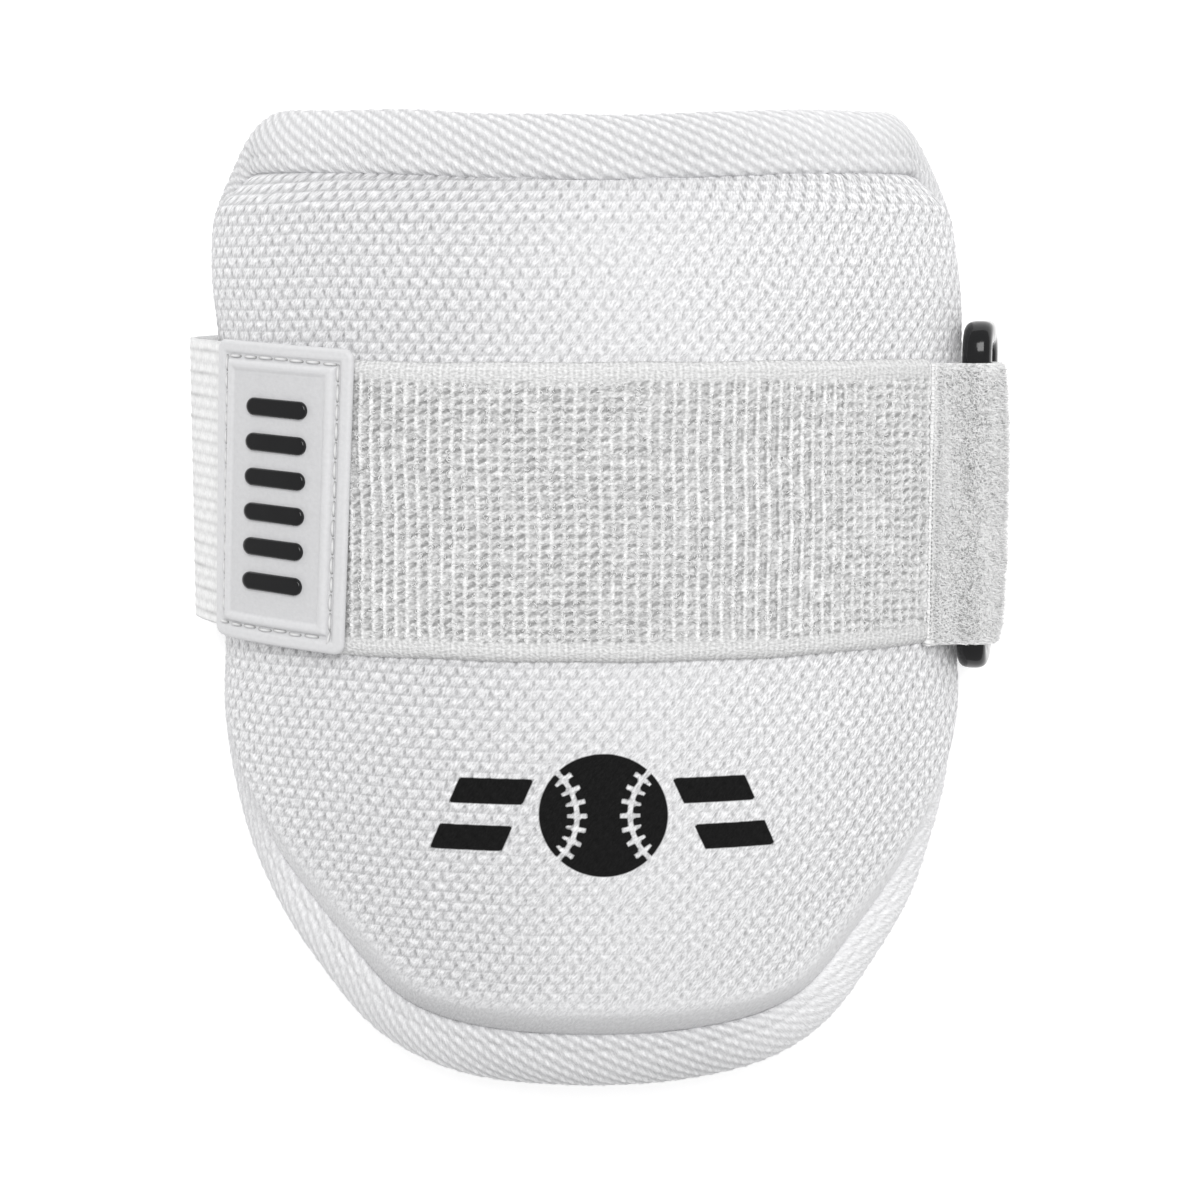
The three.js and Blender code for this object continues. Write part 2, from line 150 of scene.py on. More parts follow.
def outline(count):
    """The pad's flat edge, clockwise from the lower end: two cubics, a straight side, an arc and a cubic,
    mirrored. Gives its points, the way in from each, the step from rim to face there, and its length."""
    turns_up = (-57, -88.5)
    lower_end = cubic((0, LOWER_END), (-42, LOWER_END), (-45.5, -100.5), turns_up)
    lower_side = cubic(turns_up, (-69, -76), (-SIDE_EDGE, -56), (-SIDE_EDGE, -26))
    turn = np.linspace(np.pi, np.pi / 2, 90)[:, None]
    top = UPPER_END + UPPER_FLARE
    corner_middle = np.array([UPPER_CORNER - SIDE_EDGE, top - UPPER_CORNER])
    corner = corner_middle + UPPER_CORNER * np.hstack([np.cos(turn), np.sin(turn)])
    turned_in = corner_middle[0]
    upper_end = cubic((turned_in, top), (turned_in / 2, top), (turned_in / 3, UPPER_END), (0, UPPER_END))
    half = np.concatenate([lower_end, lower_side[1:], corner, upper_end[1:]])
    points, length = evenly(np.concatenate([half, half[-2::-1] * (-1, 1)]), count, joined=True)
    way = unit(np.roll(points, -1, axis=0) - np.roll(points, 1, axis=0))
    inward = points_of(way[:, 1], -way[:, 0])
    step = STEP_AT_SIDES + (STEP_AT_ENDS - STEP_AT_SIDES) * np.abs(inward[:, 1]) ** 1.3
    return points, inward, step, length


def inside_edge(edge, inset, height, shrink=1.0):
    """Points in rows round the pad: the edge moved in by an inset, shrunk to the middle, at a height."""
    points, inward = edge[:2]
    inset, shrink = np.asarray(inset, float), np.asarray(shrink, float)
    reach = (points[:, 0] + inward[:, 0] * inset) * shrink
    along = OUTLINE_MIDDLE + (points[:, 1] + inward[:, 1] * inset - OUTLINE_MIDDLE) * shrink
    return on_face(reach - SKEW * along, along, height)


def step_rise(inset):
    """How far up the step the face is at an inset, from 0 to 1: an even slope that levels off softly."""
    wall = np.maximum(np.asarray(inset, float) - SEAM_INSET, 0) / STEP_WIDTH
    return 1 - np.logaddexp(0, STEP_SOFTNESS * (1 - wall)) / np.logaddexp(0, STEP_SOFTNESS)


def grid(points, flat, joined=False):
    """Faces between neighbouring rows and columns of a grid of points, with each corner's flat place.
    A joined grid closes each row on itself, and its flat places have one more column."""
    rows, columns = points.shape[:2]
    i, j = np.mgrid[: rows - 1, : columns - (not joined)]
    corners = ((i, j), (i, j + 1), (i + 1, j + 1), (i + 1, j))
    faces = np.stack([a * columns + b % columns for a, b in corners], axis=-1).reshape(-1, 4)
    places = np.stack([flat[a, b] for a, b in corners], axis=-2).reshape(-1, 2)
    return points.reshape(-1, 3), faces, places


def add_shares(mesh, shares):
    """Writes named arrays to a mesh, each as one number for every point."""
    for label, values in shares.items():
        attribute = mesh.attributes.new(label, "FLOAT", "POINT")
        attribute.data.foreach_set("value", np.ravel(values).astype(np.float32))


def mesh_of(name, points, faces, places=None, relief=None):
    """A smooth mesh from arrays: points in mm, four corners to a face, flat places as UVs, and relief."""
    mesh = bpy.data.meshes.new(name)
    mesh.vertices.add(len(points))
    mesh.vertices.foreach_set("co", np.ravel(points).astype(np.float32) * MM)
    mesh.loops.add(faces.size)
    mesh.loops.foreach_set("vertex_index", faces.ravel().astype(np.int32))
    mesh.polygons.add(len(faces))
    mesh.polygons.foreach_set("loop_start", np.arange(0, faces.size, 4, dtype=np.int32))
    mesh.update(calc_edges=True)
    if places is not None:
        layer = mesh.uv_layers.new(name="flat")
        layer.uv.foreach_set("vector", np.ravel(places).astype(np.float32))
    if relief is not None:
        add_shares(mesh, {"relief": relief})
    mesh.validate()
    mesh.shade_smooth()
    return mesh


def close_poles(mesh):
    """Rows drawn to a point become one vertex, so that the mesh is closed there."""
    work = bmesh.new()
    work.from_mesh(mesh)
    bmesh.ops.remove_doubles(work, verts=work.verts, dist=1e-7)
    work.to_mesh(mesh)
    work.free()


def add_piece(name, mesh, finish):
    """Puts a mesh in the scene as a piece of the guard, with its finish, parented to the root body."""
    mesh.materials.append(finish)
    piece = bpy.data.objects.new(name, mesh)
    bpy.context.scene.collection.objects.link(piece)
    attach(piece, "root")
    return piece


def feed(tree, node, links):
    """Links a node's inputs to sockets, or sets them to values."""
    for key, value in links.items():
        if isinstance(value, bpy.types.NodeSocket):
            tree.links.new(value, node.inputs[key])
        else:
            node.inputs[key].default_value = value


def add_node(tree, kind, links=None, **settings):
    """A node with its settings made and its inputs fed."""
    node = tree.nodes.new(kind)
    for key, value in settings.items():
        setattr(node, key, value)
    feed(tree, node, links or {})
    return node


def maths(tree, operation, *numbers):
    """The result of a Math node's operation on numbers."""
    return add_node(tree, "ShaderNodeMath", dict(enumerate(numbers)), operation=operation).outputs[0]


def vector_maths(tree, operation, *vectors):
    """The result of a Vector Math node's operation: a vector, or a number where it is a dot product."""
    node = add_node(tree, "ShaderNodeVectorMath", dict(enumerate(vectors)), operation=operation)
    return node.outputs["Value" if operation == "DOT_PRODUCT" else "Vector"]


def vector_of(tree, x, y, z=1.0):
    """A vector put together from three numbers."""
    return add_node(tree, "ShaderNodeCombineXYZ", {"X": x, "Y": y, "Z": z}).outputs[0]


def spread(tree, value, none, full, low=0.0, high=1.0):
    """A number that passes in a straight line from low to high, while the value passes from none to full."""
    ends = {"From Min": none, "From Max": full, "To Min": low, "To Max": high}
    return add_node(tree, "ShaderNodeMapRange", {"Value": value, **ends}).outputs[0]


def mixed(tree, share, first, second):
    """A colour that passes from the first to the second by a share."""
    links = {"Factor": share, "A": first, "B": second}
    return add_node(tree, "ShaderNodeMix", links, data_type="RGBA").outputs["Result"]


def toned(tree, colour, tone):
    """A colour multiplied by a number."""
    return add_node(tree, "ShaderNodeVectorMath", {0: colour, "Scale": tone}, operation="SCALE").outputs[0]


def noise(tree, place, scale, detail, dimensions="3D"):
    """Cloudy noise about a half, so many clouds to the place's unit."""
    links = {"Vector": place, "Scale": scale, "Detail": detail}
    return add_node(tree, "ShaderNodeTexNoise", links, noise_dimensions=dimensions).outputs["Fac"]


def share_of(tree, label):
    """A number that the mesh holds for each of its points."""
    return add_node(tree, "ShaderNodeAttribute", attribute_name=label).outputs["Fac"]


def new_group(name, inputs, outputs):
    """A shader node group with named sockets, the sockets that it is given, and the node for its results.
    An input is a number or a colour by its first value, or a vector where it has none."""
    kinds = {type(None): "NodeSocketVector", float: "NodeSocketFloat", tuple: "NodeSocketColor"}
    tree = bpy.data.node_groups.new(name, "ShaderNodeTree")
    for label, value in inputs.items():
        socket = tree.interface.new_socket(label, in_out="INPUT", socket_type=kinds[type(value)])
        if value is not None:
            socket.default_value = value
    for label in outputs:
        kind = "NodeSocketColor" if label == "Color" else "NodeSocketFloat"
        tree.interface.new_socket(label, in_out="OUTPUT", socket_type=kind)
    return tree, tree.nodes.new("NodeGroupInput").outputs, tree.nodes.new("NodeGroupOutput")


# Fine filaments: noise drawn out along one direction of the flat cloth, as strokes from 0 to 1.
filaments, given, result = new_group(
    "filaments", {"Place": None, "Angle": 0.0, "Per mm": 2.0, "Length": 5.0}, ["Stroke"]
)
turned = add_node(
    filaments,
    "ShaderNodeVectorRotate",
    {"Vector": given["Place"], "Angle": given["Angle"]},
    rotation_type="Z_AXIS",
)
drawn_out = vector_of(filaments, maths(filaments, "DIVIDE", 1.0, given["Length"]), 1.0)
stroke_place = vector_maths(filaments, "MULTIPLY", turned.outputs[0], drawn_out)
strokes = noise(filaments, stroke_place, given["Per mm"], 2.0, "2D")
feed(filaments, result, {"Stroke": spread(filaments, strokes, 0.3, 0.7)})

# Cloth colour: hollows between threads are darkened below their tops by the relief as painted shade, and
# faint patches vary over the piece.
cloth_shade, given, result = new_group(
    "cloth_shade",
    {
        "Relief": 1.0,
        "Stroke": 0.5,
        "Top": (0.8, 0.8, 0.8, 1),
        "Hollow": (0.5, 0.5, 0.5, 1),
        "Stroke share": 0.1,
    },
    ["Color", "Roughness"],
)
object_place = add_node(cloth_shade, "ShaderNodeTexCoord").outputs["Object"]
patch_tone = spread(cloth_shade, noise(cloth_shade, object_place, 45.0, 3.0), 0.0, 1.0, 0.96, 1.03)
off_middle = maths(cloth_shade, "SUBTRACT", given["Stroke"], 0.5)
stroke_tone = maths(cloth_shade, "MULTIPLY_ADD", off_middle, given["Stroke share"], patch_tone)
by_depth = mixed(cloth_shade, given["Relief"], given["Hollow"], given["Top"])
feed(cloth_shade, result, {
    "Color": toned(cloth_shade, by_depth, stroke_tone),
    "Roughness": spread(cloth_shade, given["Stroke"], 0.0, 1.0, 0.9, 0.72),
})


def new_finish(name):
    """A new material, its node tree and its shader."""
    finish = bpy.data.materials.new(name)
    finish.use_nodes = True
    return finish, finish.node_tree, finish.node_tree.nodes["Principled BSDF"]


def cloth_finish(name, top, hollow, angle=0.0, per_mm=2.0, length=5.0, share=0.1, depth_mm=0.08):
    """A white cloth: its colour passes from hollow to top by the mesh's relief, which darkens the hollows as
    painted shade.
    Filament strokes, at an angle and so many to a mm, change the colour by a share and are a shallow bump."""
    finish, tree, shader = new_finish(name)
    flat = add_node(tree, "ShaderNodeUVMap", uv_map="flat", name="flat")
    stroke = add_node(
        tree,
        "ShaderNodeGroup",
        {"Place": flat.outputs["UV"], "Angle": angle, "Per mm": per_mm, "Length": length},
        node_tree=filaments,
        name="stroke",
    ).outputs["Stroke"]
    shade = add_node(
        tree,
        "ShaderNodeGroup",
        {
            "Relief": share_of(tree, "relief"),
            "Stroke": stroke,
            "Top": (*top, 1),
            "Hollow": (*hollow, 1),
            "Stroke share": share,
        },
        node_tree=cloth_shade,
        name="shade",
    )
    bump = add_node(tree, "ShaderNodeBump", {"Height": stroke, "Distance": depth_mm * MM}, name="bump")
    feed(tree, shader, {
        "Base Color": shade.outputs["Color"],
        "Roughness": shade.outputs["Roughness"],
        "Normal": bump.outputs["Normal"],
        "Specular IOR Level": 0.25,
    })
    return finish


# Rows from the middle of the face, down the step, round the rim and over the hollow back to its middle.
# Each point of the rim has its inset from the pad's edge and its level above the back of the tape.
PAD_STEP_INSETS = (18, 17, 16, 15, 14, 13.2, 12.5, 12)
PAD_RIM = (
    (11.6, 6.8), (8, 6.8), (4, 6.8), (2.3, 5.9), (1.7, 5.1), (1.5, 4.15), (1.7, 3.2), (2.3, 2.4),
    (4, 1.5), (7, 1.5), (10.5, 1.5), (12.5, 1.45), (14, 1.2),
)
back_inset, back_level = PAD_RIM[-1]
pad_edge = outline(320)
pad_step = pad_edge[2]
pad_rows = [inside_edge(pad_edge, CROWN_INSET, -SKIN, share) for share in np.linspace(0, 1, 12)]
for inset in PAD_STEP_INSETS:
    pad_rows.append(inside_edge(pad_edge, inset, (step_rise(inset) - 1) * pad_step - SKIN))
pad_rows += [inside_edge(pad_edge, inset, level - RIM_DEPTH - pad_step) for inset, level in PAD_RIM]
rim_back = back_level - RIM_DEPTH - pad_step
for shrink in np.linspace(0.97, 0, 26):
    rim_share = 1 - (1 - shrink**2) ** 1.2
    hollow_height = rim_share * rim_back - (1 - rim_share) * PAD_DEPTH
    pad_rows.append(inside_edge(pad_edge, back_inset, hollow_height, shrink))
pad_points = np.stack(pad_rows)
lining_ribs = wave(pad_points[..., 0], LINING_RIB)
pad_flat = closed(pad_points[..., :2])
pad_mesh = mesh_of("pad_body", *grid(pad_points, pad_flat, joined=True), relief=lining_ribs)
close_poles(pad_mesh)
pad_finish = cloth_finish(
    "brushed_lining", top=(0.8, 0.8, 0.81), hollow=(0.74, 0.74, 0.75), per_mm=2.5, length=2.0, depth_mm=0.12
)
pad_body = add_piece("pad_body", pad_mesh, pad_finish)
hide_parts("pad")


# The front panel is heavy woven mesh, stretched over the foam and caught under the binding all round.
# Its thick wefts stand up as rows of knots, each row half a knot along from the next, with pits between.
# A plain mark in black ink, a ball between slanted bars, is printed on its lower half.
KNOT_PITCH, KNOT_ROW, KNOT_HEIGHT = 2.97, 1.83, 0.5
MEAN_RELIEF = 0.75
PIT_WIDTH, PIT_LENGTH = 0.27, 0.55
POINTS_TO_KNOT, POINTS_TO_ROW = 9, 3.5
UNDER_STRAP_ROW, STRAP_OVERLAP = 3.6, 1.5
TUCK_INSET, TUCK_DEPTH, TUCK_OVER = 9.4, 1.35, 0.5
HELD_PAST_SEAM, HELD_PAST_STRAP = 1.5, 0.5
SWELL_CAP = 1.6
SWELL_FRAMES = 20
PRINT_ALONG = -52.4
BALL_RADIUS = 11
BALL_SEAM_MIDDLE, BALL_SEAM_RADIUS, BALL_SEAM_HALF = 15, 10.5, 0.42
BALL_STITCH_PITCH, BALL_STITCH_HALF, BALL_STITCH_REACH = 2.3, 0.36, 1.7
BAR_MIDDLE, BAR_HALF, BAR_SLANT = (21, 4.2), (6.4, 2.3), 0.45
INK, INK_EDGE = (0.003, 0.003, 0.003, 1), 0.12
# How much of each effect shows: in the middle, more to the left, more to the right, more on the upper end's
# wall, and the share of it lost where the cloth is drawn smooth over the lower end.
# Pits are darkened as painted shade, rows get a painted highlight and shade, and slants a painted sheen.
WEAVE_SHARES = {
    "pit_share": (0.3, 0.36, 0.24, 0.25, 1),
    "row_painted_light_share": (0.12, 0.22, 0.03, 0.12, 1),
    "slant_sheen_share": (0.04, 0, 0.13, 0, 1),
    "stroke_share": (0.34, 0.08, 0.26, 0, 0.6),
}


def ramp(value, none, full):
    """From 0 to 1 in a straight line between two values."""
    return np.clip((value - none) / (full - none), 0, 1)


def wander(place, size, seed):
    """A slow uneven wave along a line, about size mm high: the mean of five sines of drawn length and phase,
    raised because they partly cancel."""
    draw = np.random.default_rng(seed)
    lengths = draw.uniform(18, 75, 5)
    phases = draw.uniform(0, 2 * np.pi, 5)
    sines = np.sin(2 * np.pi * np.asarray(place)[..., None] / lengths + phases)
    return size * sines.mean(axis=-1) * 1.6


def distance_in(reach, along):
    """How far flat points lie inside the pad's edge, and the step at the edge point nearest to each.
    One row of points at a time is measured from all of the edge."""
    points, inward, step, _ = outline(700)
    inset, nearest_step = np.empty(reach.shape), np.empty(reach.shape)
    for row in range(len(reach)):
        away = points_of(reach[row], along[row])[:, None] - points
        nearest = np.argmin((away**2).sum(axis=2), axis=1)
        chosen = away[np.arange(len(nearest)), nearest]
        inset[row] = (chosen * inward[nearest]).sum(axis=1)
        nearest_step[row] = step[nearest]
    return inset, nearest_step


def panel_height(inset, step):
    """The panel's height off the face: level on the crown, down the step, and tucked in under the tape."""
    tucked = ramp(inset, SEAM_INSET, SEAM_INSET - TUCK_OVER)
    return (step_rise(inset) - 1) * step - TUCK_DEPTH * tucked


def swell(reach, along, inset, step):
    """How far the foam pushes the stretched cloth out, from a cloth simulation with pressure from behind.
    The cloth is held at the seam and under the strap, and no point may move more than the cap."""
    rest = on_face(reach - SKEW * along, along, panel_height(inset, step))
    mesh = mesh_of("swell", *grid(rest, points_of(reach, along)))
    cloth = bpy.data.objects.new("swell", mesh)
    bpy.context.scene.collection.objects.link(cloth)
    held = (inset < SEAM_INSET + HELD_PAST_SEAM) | (np.abs(along) < STRAP_WIDTH / 2 + HELD_PAST_STRAP)
    pins = cloth.vertex_groups.new(name="held")
    pins.add(np.flatnonzero(held.ravel()).tolist(), 1.0, "REPLACE")
    modifier = cloth.modifiers.new("cloth", "CLOTH")
    settings = modifier.settings
    settings.quality = 6
    settings.mass = 0.002
    settings.vertex_group_mass = "held"
    settings.tension_stiffness = settings.compression_stiffness = settings.shear_stiffness = 12
    settings.bending_stiffness = 0.4
    settings.use_pressure = True
    settings.uniform_pressure_force = 4
    settings.effector_weights.gravity = 0
    modifier.point_cache.frame_start, modifier.point_cache.frame_end = 1, SWELL_FRAMES
    for number in range(1, SWELL_FRAMES + 1):
        bpy.context.scene.frame_set(number)
    done = cloth.evaluated_get(bpy.context.evaluated_depsgraph_get()).to_mesh()
    swollen = np.empty(len(done.vertices) * 3, np.float32)
    done.vertices.foreach_get("co", swollen)
    moved = swollen.reshape(rest.shape) / MM - rest
    bpy.context.scene.frame_set(1)
    bpy.data.objects.remove(cloth)
    bpy.data.meshes.remove(mesh)
    length = np.linalg.norm(moved, axis=-1, keepdims=True)
    return moved * np.minimum(1, SWELL_CAP / np.maximum(length, 1e-9))


half_width = SIDE_EDGE - TUCK_INSET
lower_row, upper_row = LOWER_END + TUCK_INSET, UPPER_END - TUCK_INSET
column_step, row_step = KNOT_PITCH / POINTS_TO_KNOT, KNOT_ROW / POINTS_TO_ROW
strap_half = STRAP_WIDTH / 2 - STRAP_OVERLAP
panel_columns = np.arange(-half_width, half_width + column_step, column_step)
panel_rows = np.concatenate([
    np.arange(lower_row, -strap_half, row_step),
    np.arange(-strap_half, strap_half, UNDER_STRAP_ROW),
    np.arange(strap_half, upper_row + row_step, row_step),
])
panel_along, panel_reach = np.meshgrid(panel_rows, panel_columns, indexing="ij")
panel_inset, panel_step = distance_in(panel_reach, panel_along)
coarse_columns = np.linspace(-half_width, half_width, 64)
coarse_rows = np.linspace(lower_row, upper_row, 60)


def over_panel(coarse):
    """A coarse grid's values at each point of the fine one, straight between the four around it."""
    i = (panel_rows - coarse_rows[0]) / np.diff(coarse_rows[:2])
    j = (panel_columns - coarse_columns[0]) / np.diff(coarse_columns[:2])
    i, j = np.clip(i, 0, len(coarse_rows) - 1.001), np.clip(j, 0, len(coarse_columns) - 1.001)
    row, column = i.astype(int), j.astype(int)
    up, across = (i - row)[:, None, None], (j - column)[None, :, None]
    low = coarse[row][:, column] * (1 - across) + coarse[row][:, column + 1] * across
    high = coarse[row + 1][:, column] * (1 - across) + coarse[row + 1][:, column + 1] * across
    return low * (1 - up) + high * up


panel_swell = np.zeros(panel_reach.shape + (3,))
coarse_along, coarse_reach = np.meshgrid(coarse_rows, coarse_columns, indexing="ij")
panel_swell = over_panel(swell(coarse_reach, coarse_along, *distance_in(coarse_reach, coarse_along)))


def pits(reach, along):
    """Pits of the weave, from 0 to 1: soft dips on two square patterns, each between the other's dips."""
    dips = np.zeros(np.broadcast(reach, along).shape)
    for shift in (0, 0.5):
        aside = reach / KNOT_PITCH - shift
        up = along / (2 * KNOT_ROW) - shift
        aside = (aside - np.round(aside)) * KNOT_PITCH
        up = (up - np.round(up)) * 2 * KNOT_ROW
        dips += np.exp(-((aside / PIT_WIDTH) ** 2) - (up / PIT_LENGTH) ** 2)
    return np.minimum(dips, 1)


knot_reach = panel_reach + wander(panel_along, size=0.3, seed=3)
knot_along = panel_along + wander(panel_reach, size=0.16, seed=4)
row_ridge = wave(knot_along, KNOT_ROW) ** 0.7
knot_bulge = 0.5 - 0.5 * np.cos(2 * np.pi * knot_reach / KNOT_PITCH) * np.cos(np.pi * knot_along / KNOT_ROW)
to_left = ramp(panel_reach, 6, -26)
to_right = ramp(panel_reach, 8, 48)
far_side = ramp(np.abs(panel_reach), 56, 72)
near_seam = ramp(panel_inset, SEAM_INSET + 9, SEAM_INSET + 4.5) * ramp(panel_step, 2, 4)
drawn_smooth = near_seam * ramp(panel_along, -40, -70)
upper_wall = near_seam * ramp(panel_along, 38, 48)
weave_shares = {
    label: (middle + left * to_left + right * to_right + wall * upper_wall) * (1 - lost * drawn_smooth)
    for label, (middle, left, right, wall, lost) in WEAVE_SHARES.items()
}
# Knot relief gives the knots' height and their colour: hollows between knots and rows are darkened as painted
# shade, more towards both sides, and the upper end's wall a little more as painted shade.
knot_share = 0.4 + 0.6 * np.maximum(to_left, to_right)
knot_relief = MEAN_RELIEF + knot_share * (0.2 * row_ridge + 0.25 * knot_bulge - 0.2)
knot_relief = knot_relief * (1 - 0.5 * pits(knot_reach, knot_along)) - 0.08 * upper_wall
# On the lower end, where the cloth is drawn smooth, it takes an even tone, and the lower wall is darkened
# towards the seam as painted shade.
in_shade = ramp(panel_along, -72, -90) * ramp(np.abs(panel_reach), 56, 34)
smooth_relief_and_painted_shade = 0.74 - 0.34 * in_shade * ramp(panel_inset, SEAM_INSET + 7, SEAM_INSET + 1)
panel_relief = knot_relief + drawn_smooth * (smooth_relief_and_painted_shade - knot_relief)
# Painted light and shade: the panel is lighter to the right and at its far sides, and darker left of its
# middle.
panel_painted_light = 0.07 * to_right + 0.1 * far_side - 0.1 * hump(panel_reach, -30, 24)
knot_height = panel_height(panel_inset, panel_step) + KNOT_HEIGHT * (panel_relief - MEAN_RELIEF)
panel_points = on_face(panel_reach - SKEW * panel_along, panel_along, knot_height) + panel_swell
points, faces, places = grid(panel_points, points_of(knot_reach, knot_along))
shown = (panel_inset.ravel()[faces] > TUCK_INSET).all(axis=1)
used, faces = np.unique(faces[shown], return_inverse=True)
panel_mesh = mesh_of(
    "front_panel",
    points[used],
    faces.reshape(-1, 4),
    places.reshape(-1, 4, 2)[shown],
    (panel_relief + panel_painted_light).ravel()[used],
)


def off_print(reach, along):
    """How far flat points lie outside the printed mark, in mm: a ball with its two curved seams and their
    stitches left bare, and two slanted bars on each side of it. Each shape is a distance, and they are joined
    by least and greatest."""
    beside = np.abs(reach) - BALL_SEAM_MIDDLE
    off_seam = np.abs(np.hypot(beside, along) - BALL_SEAM_RADIUS)
    stitch = BALL_SEAM_RADIUS * np.arctan2(along, -beside) / BALL_STITCH_PITCH
    off_stitch = np.abs(stitch - np.round(stitch)) * BALL_STITCH_PITCH - BALL_STITCH_HALF
    off_stitch = np.maximum(off_stitch, off_seam - BALL_STITCH_REACH)
    left_bare = np.minimum(off_seam - BALL_SEAM_HALF, off_stitch)
    ball = np.maximum(np.hypot(reach, along) - BALL_RADIUS, -left_bare)
    off_bar = np.abs(np.abs(reach) - BAR_MIDDLE[0] + BAR_SLANT * along) - BAR_HALF[0]
    bars = np.maximum(off_bar, np.abs(np.abs(along) - BAR_MIDDLE[1]) - BAR_HALF[1])
    return np.clip(np.minimum(ball, bars), -2, 2)


weave_shares["ink"] = off_print(panel_reach, panel_along - PRINT_ALONG)
add_shares(panel_mesh, {label: share.ravel()[used] for label, share in weave_shares.items()})

# A brick weave on the flat cloth: pits, darkened as painted shade, in two square patterns, each pit between
# four of the other; a painted highlight on each row's upper edge and painted shade on its lower; and a
# painted sheen on slanting ridges between the lines of pits.
brick_weave, given, result = new_group(
    "brick_weave",
    {"Place": None, "Pitch": 3.0, "Row": 2.0, "Width": 0.4, "Length": 0.6},
    ["Pit", "Row painted light", "Slant sheen"],
)
cell = vector_of(brick_weave, given["Pitch"], maths(brick_weave, "MULTIPLY", given["Row"], 2.0))
pit_size = vector_of(brick_weave, given["Width"], given["Length"])
in_cells = vector_maths(brick_weave, "DIVIDE", given["Place"], cell)
dips = []
for shift in (0.5, 0.0):
    moved = vector_maths(brick_weave, "ADD", in_cells, (shift, shift, 0))
    part = vector_maths(brick_weave, "FRACTION", moved)
    centred = vector_maths(brick_weave, "SUBTRACT", part, (0.5, 0.5, 0))
    sized = vector_maths(brick_weave, "MULTIPLY", centred, cell)
    away = vector_maths(brick_weave, "DIVIDE", sized, pit_size)
    square = vector_maths(brick_weave, "DOT_PRODUCT", away, away)
    dips.append(maths(brick_weave, "EXPONENT", maths(brick_weave, "MULTIPLY", square, -1.0)))
in_cell = add_node(brick_weave, "ShaderNodeSeparateXYZ", {0: in_cells}).outputs
row_part = maths(brick_weave, "FRACT", maths(brick_weave, "MULTIPLY_ADD", in_cell["Y"], 2.0, 0.5))
rising = spread(brick_weave, row_part, 0.0, 0.7)
falling = spread(brick_weave, row_part, 1.0, 0.9)
slant_line = maths(brick_weave, "SUBTRACT", in_cell["X"], in_cell["Y"])
slant_wave = maths(brick_weave, "COSINE", maths(brick_weave, "MULTIPLY", slant_line, 2 * np.pi))
feed(brick_weave, result, {
    "Pit": maths(brick_weave, "MAXIMUM", *dips),
    "Row painted light": maths(brick_weave, "MINIMUM", rising, falling),
    "Slant sheen": maths(brick_weave, "MULTIPLY_ADD", slant_wave, -0.5, 0.5),
})

# The panel's cloth, with painted shade in its pits, painted light and shade on its rows and a painted sheen
# on its slants, as far as the mesh's shares say, with the mark printed on it.
panel_finish = cloth_finish(
    "woven_mesh", top=(0.9, 0.9, 0.91), hollow=(0.5, 0.5, 0.51),
    angle=np.radians(-56), per_mm=3.0, length=2.8, depth_mm=0.1,
)
tree = panel_finish.node_tree
shade = tree.nodes["shade"]
woven = add_node(
    tree,
    "ShaderNodeGroup",
    {
        "Place": tree.nodes["flat"].outputs["UV"],
        "Pitch": KNOT_PITCH,
        "Row": KNOT_ROW,
        "Width": PIT_WIDTH,
        "Length": PIT_LENGTH,
    },
    node_tree=brick_weave,
).outputs
hole = maths(tree, "MULTIPLY", woven["Pit"], share_of(tree, "pit_share"))
clear = maths(tree, "SUBTRACT", 1.0, hole)
lit = maths(tree, "MULTIPLY", shade.inputs["Relief"].links[0].from_socket, clear)
for label, part in (("row_painted_light_share", "Row painted light"), ("slant_sheen_share", "Slant sheen")):
    below = maths(tree, "SUBTRACT", woven[part], 1.0)
    lit = maths(tree, "MULTIPLY_ADD", below, share_of(tree, label), lit)
feed(tree, shade, {"Relief": lit, "Stroke share": share_of(tree, "stroke_share")})
raised = maths(tree, "MULTIPLY_ADD", clear, 2.5, tree.nodes["stroke"].outputs["Stroke"])
feed(tree, tree.nodes["bump"], {"Height": raised})
inked = spread(tree, share_of(tree, "ink"), INK_EDGE, -INK_EDGE)
printed = mixed(tree, inked, shade.outputs["Color"], INK)
feed(tree, tree.nodes["Principled BSDF"], {"Base Color": printed})
front_panel = add_piece("front_panel", panel_mesh, panel_finish)


# The binding is a wide twill tape, folded over the pad's rim and sewn through both of its legs.
# Its ribs run slantwise, each a row of small raised threads, and a stitched crease follows its inner edge.
TAPE_RIB, TAPE_RIB_ACROSS, TAPE_RELIEF = 3.75, 2.05, 0.34
CREASE_FROM_EDGE, CREASE_WIDTH, CREASE_DEPTH = 3.6, 0.45, 0.35
TAPE_SHOWN = 16
TAPE_EDGE = 0.8
INSIDE_SPACING = 1.5
# Each point of the tape's section has its inset from the pad's edge and its level above the tape's back.
TAPE_OUTSIDE = np.array([
    (11.15, 7.3), (10.9, 7.9), (10.3, 8.35), (9, 8.55), (7, 8.55), (5, 8.4), (3.2, 7.9), (1.5, 6.9),
    (0.4, 5.5), (0.0, 4.15), (0.4, 2.8), (1.5, 1.4), (3.2, 0.4), (5, 0.05), (7.5, 0), (10.5, 0.1),
])
TAPE_INSIDE = ((10.5, 1.2), (5, 1.2), (2, 2.2), (1.2, 4.15), (2, 6.1), (5, 7.1), (11.3, 7.1))
tape_edge = outline(1560)
tape_place, _, tape_step, tape_length = tape_edge
tape_section, tape_width = evenly(TAPE_OUTSIDE, 400)
section_across = np.linspace(0, tape_width, len(tape_section))
across = np.concatenate([np.linspace(0, TAPE_SHOWN, 40), np.linspace(TAPE_SHOWN, tape_width, 10)[1:]])
tape_front = np.stack([np.interp(across, section_across, column) for column in tape_section.T], axis=1)
tape_way = unit(np.gradient(tape_front, across, axis=0))
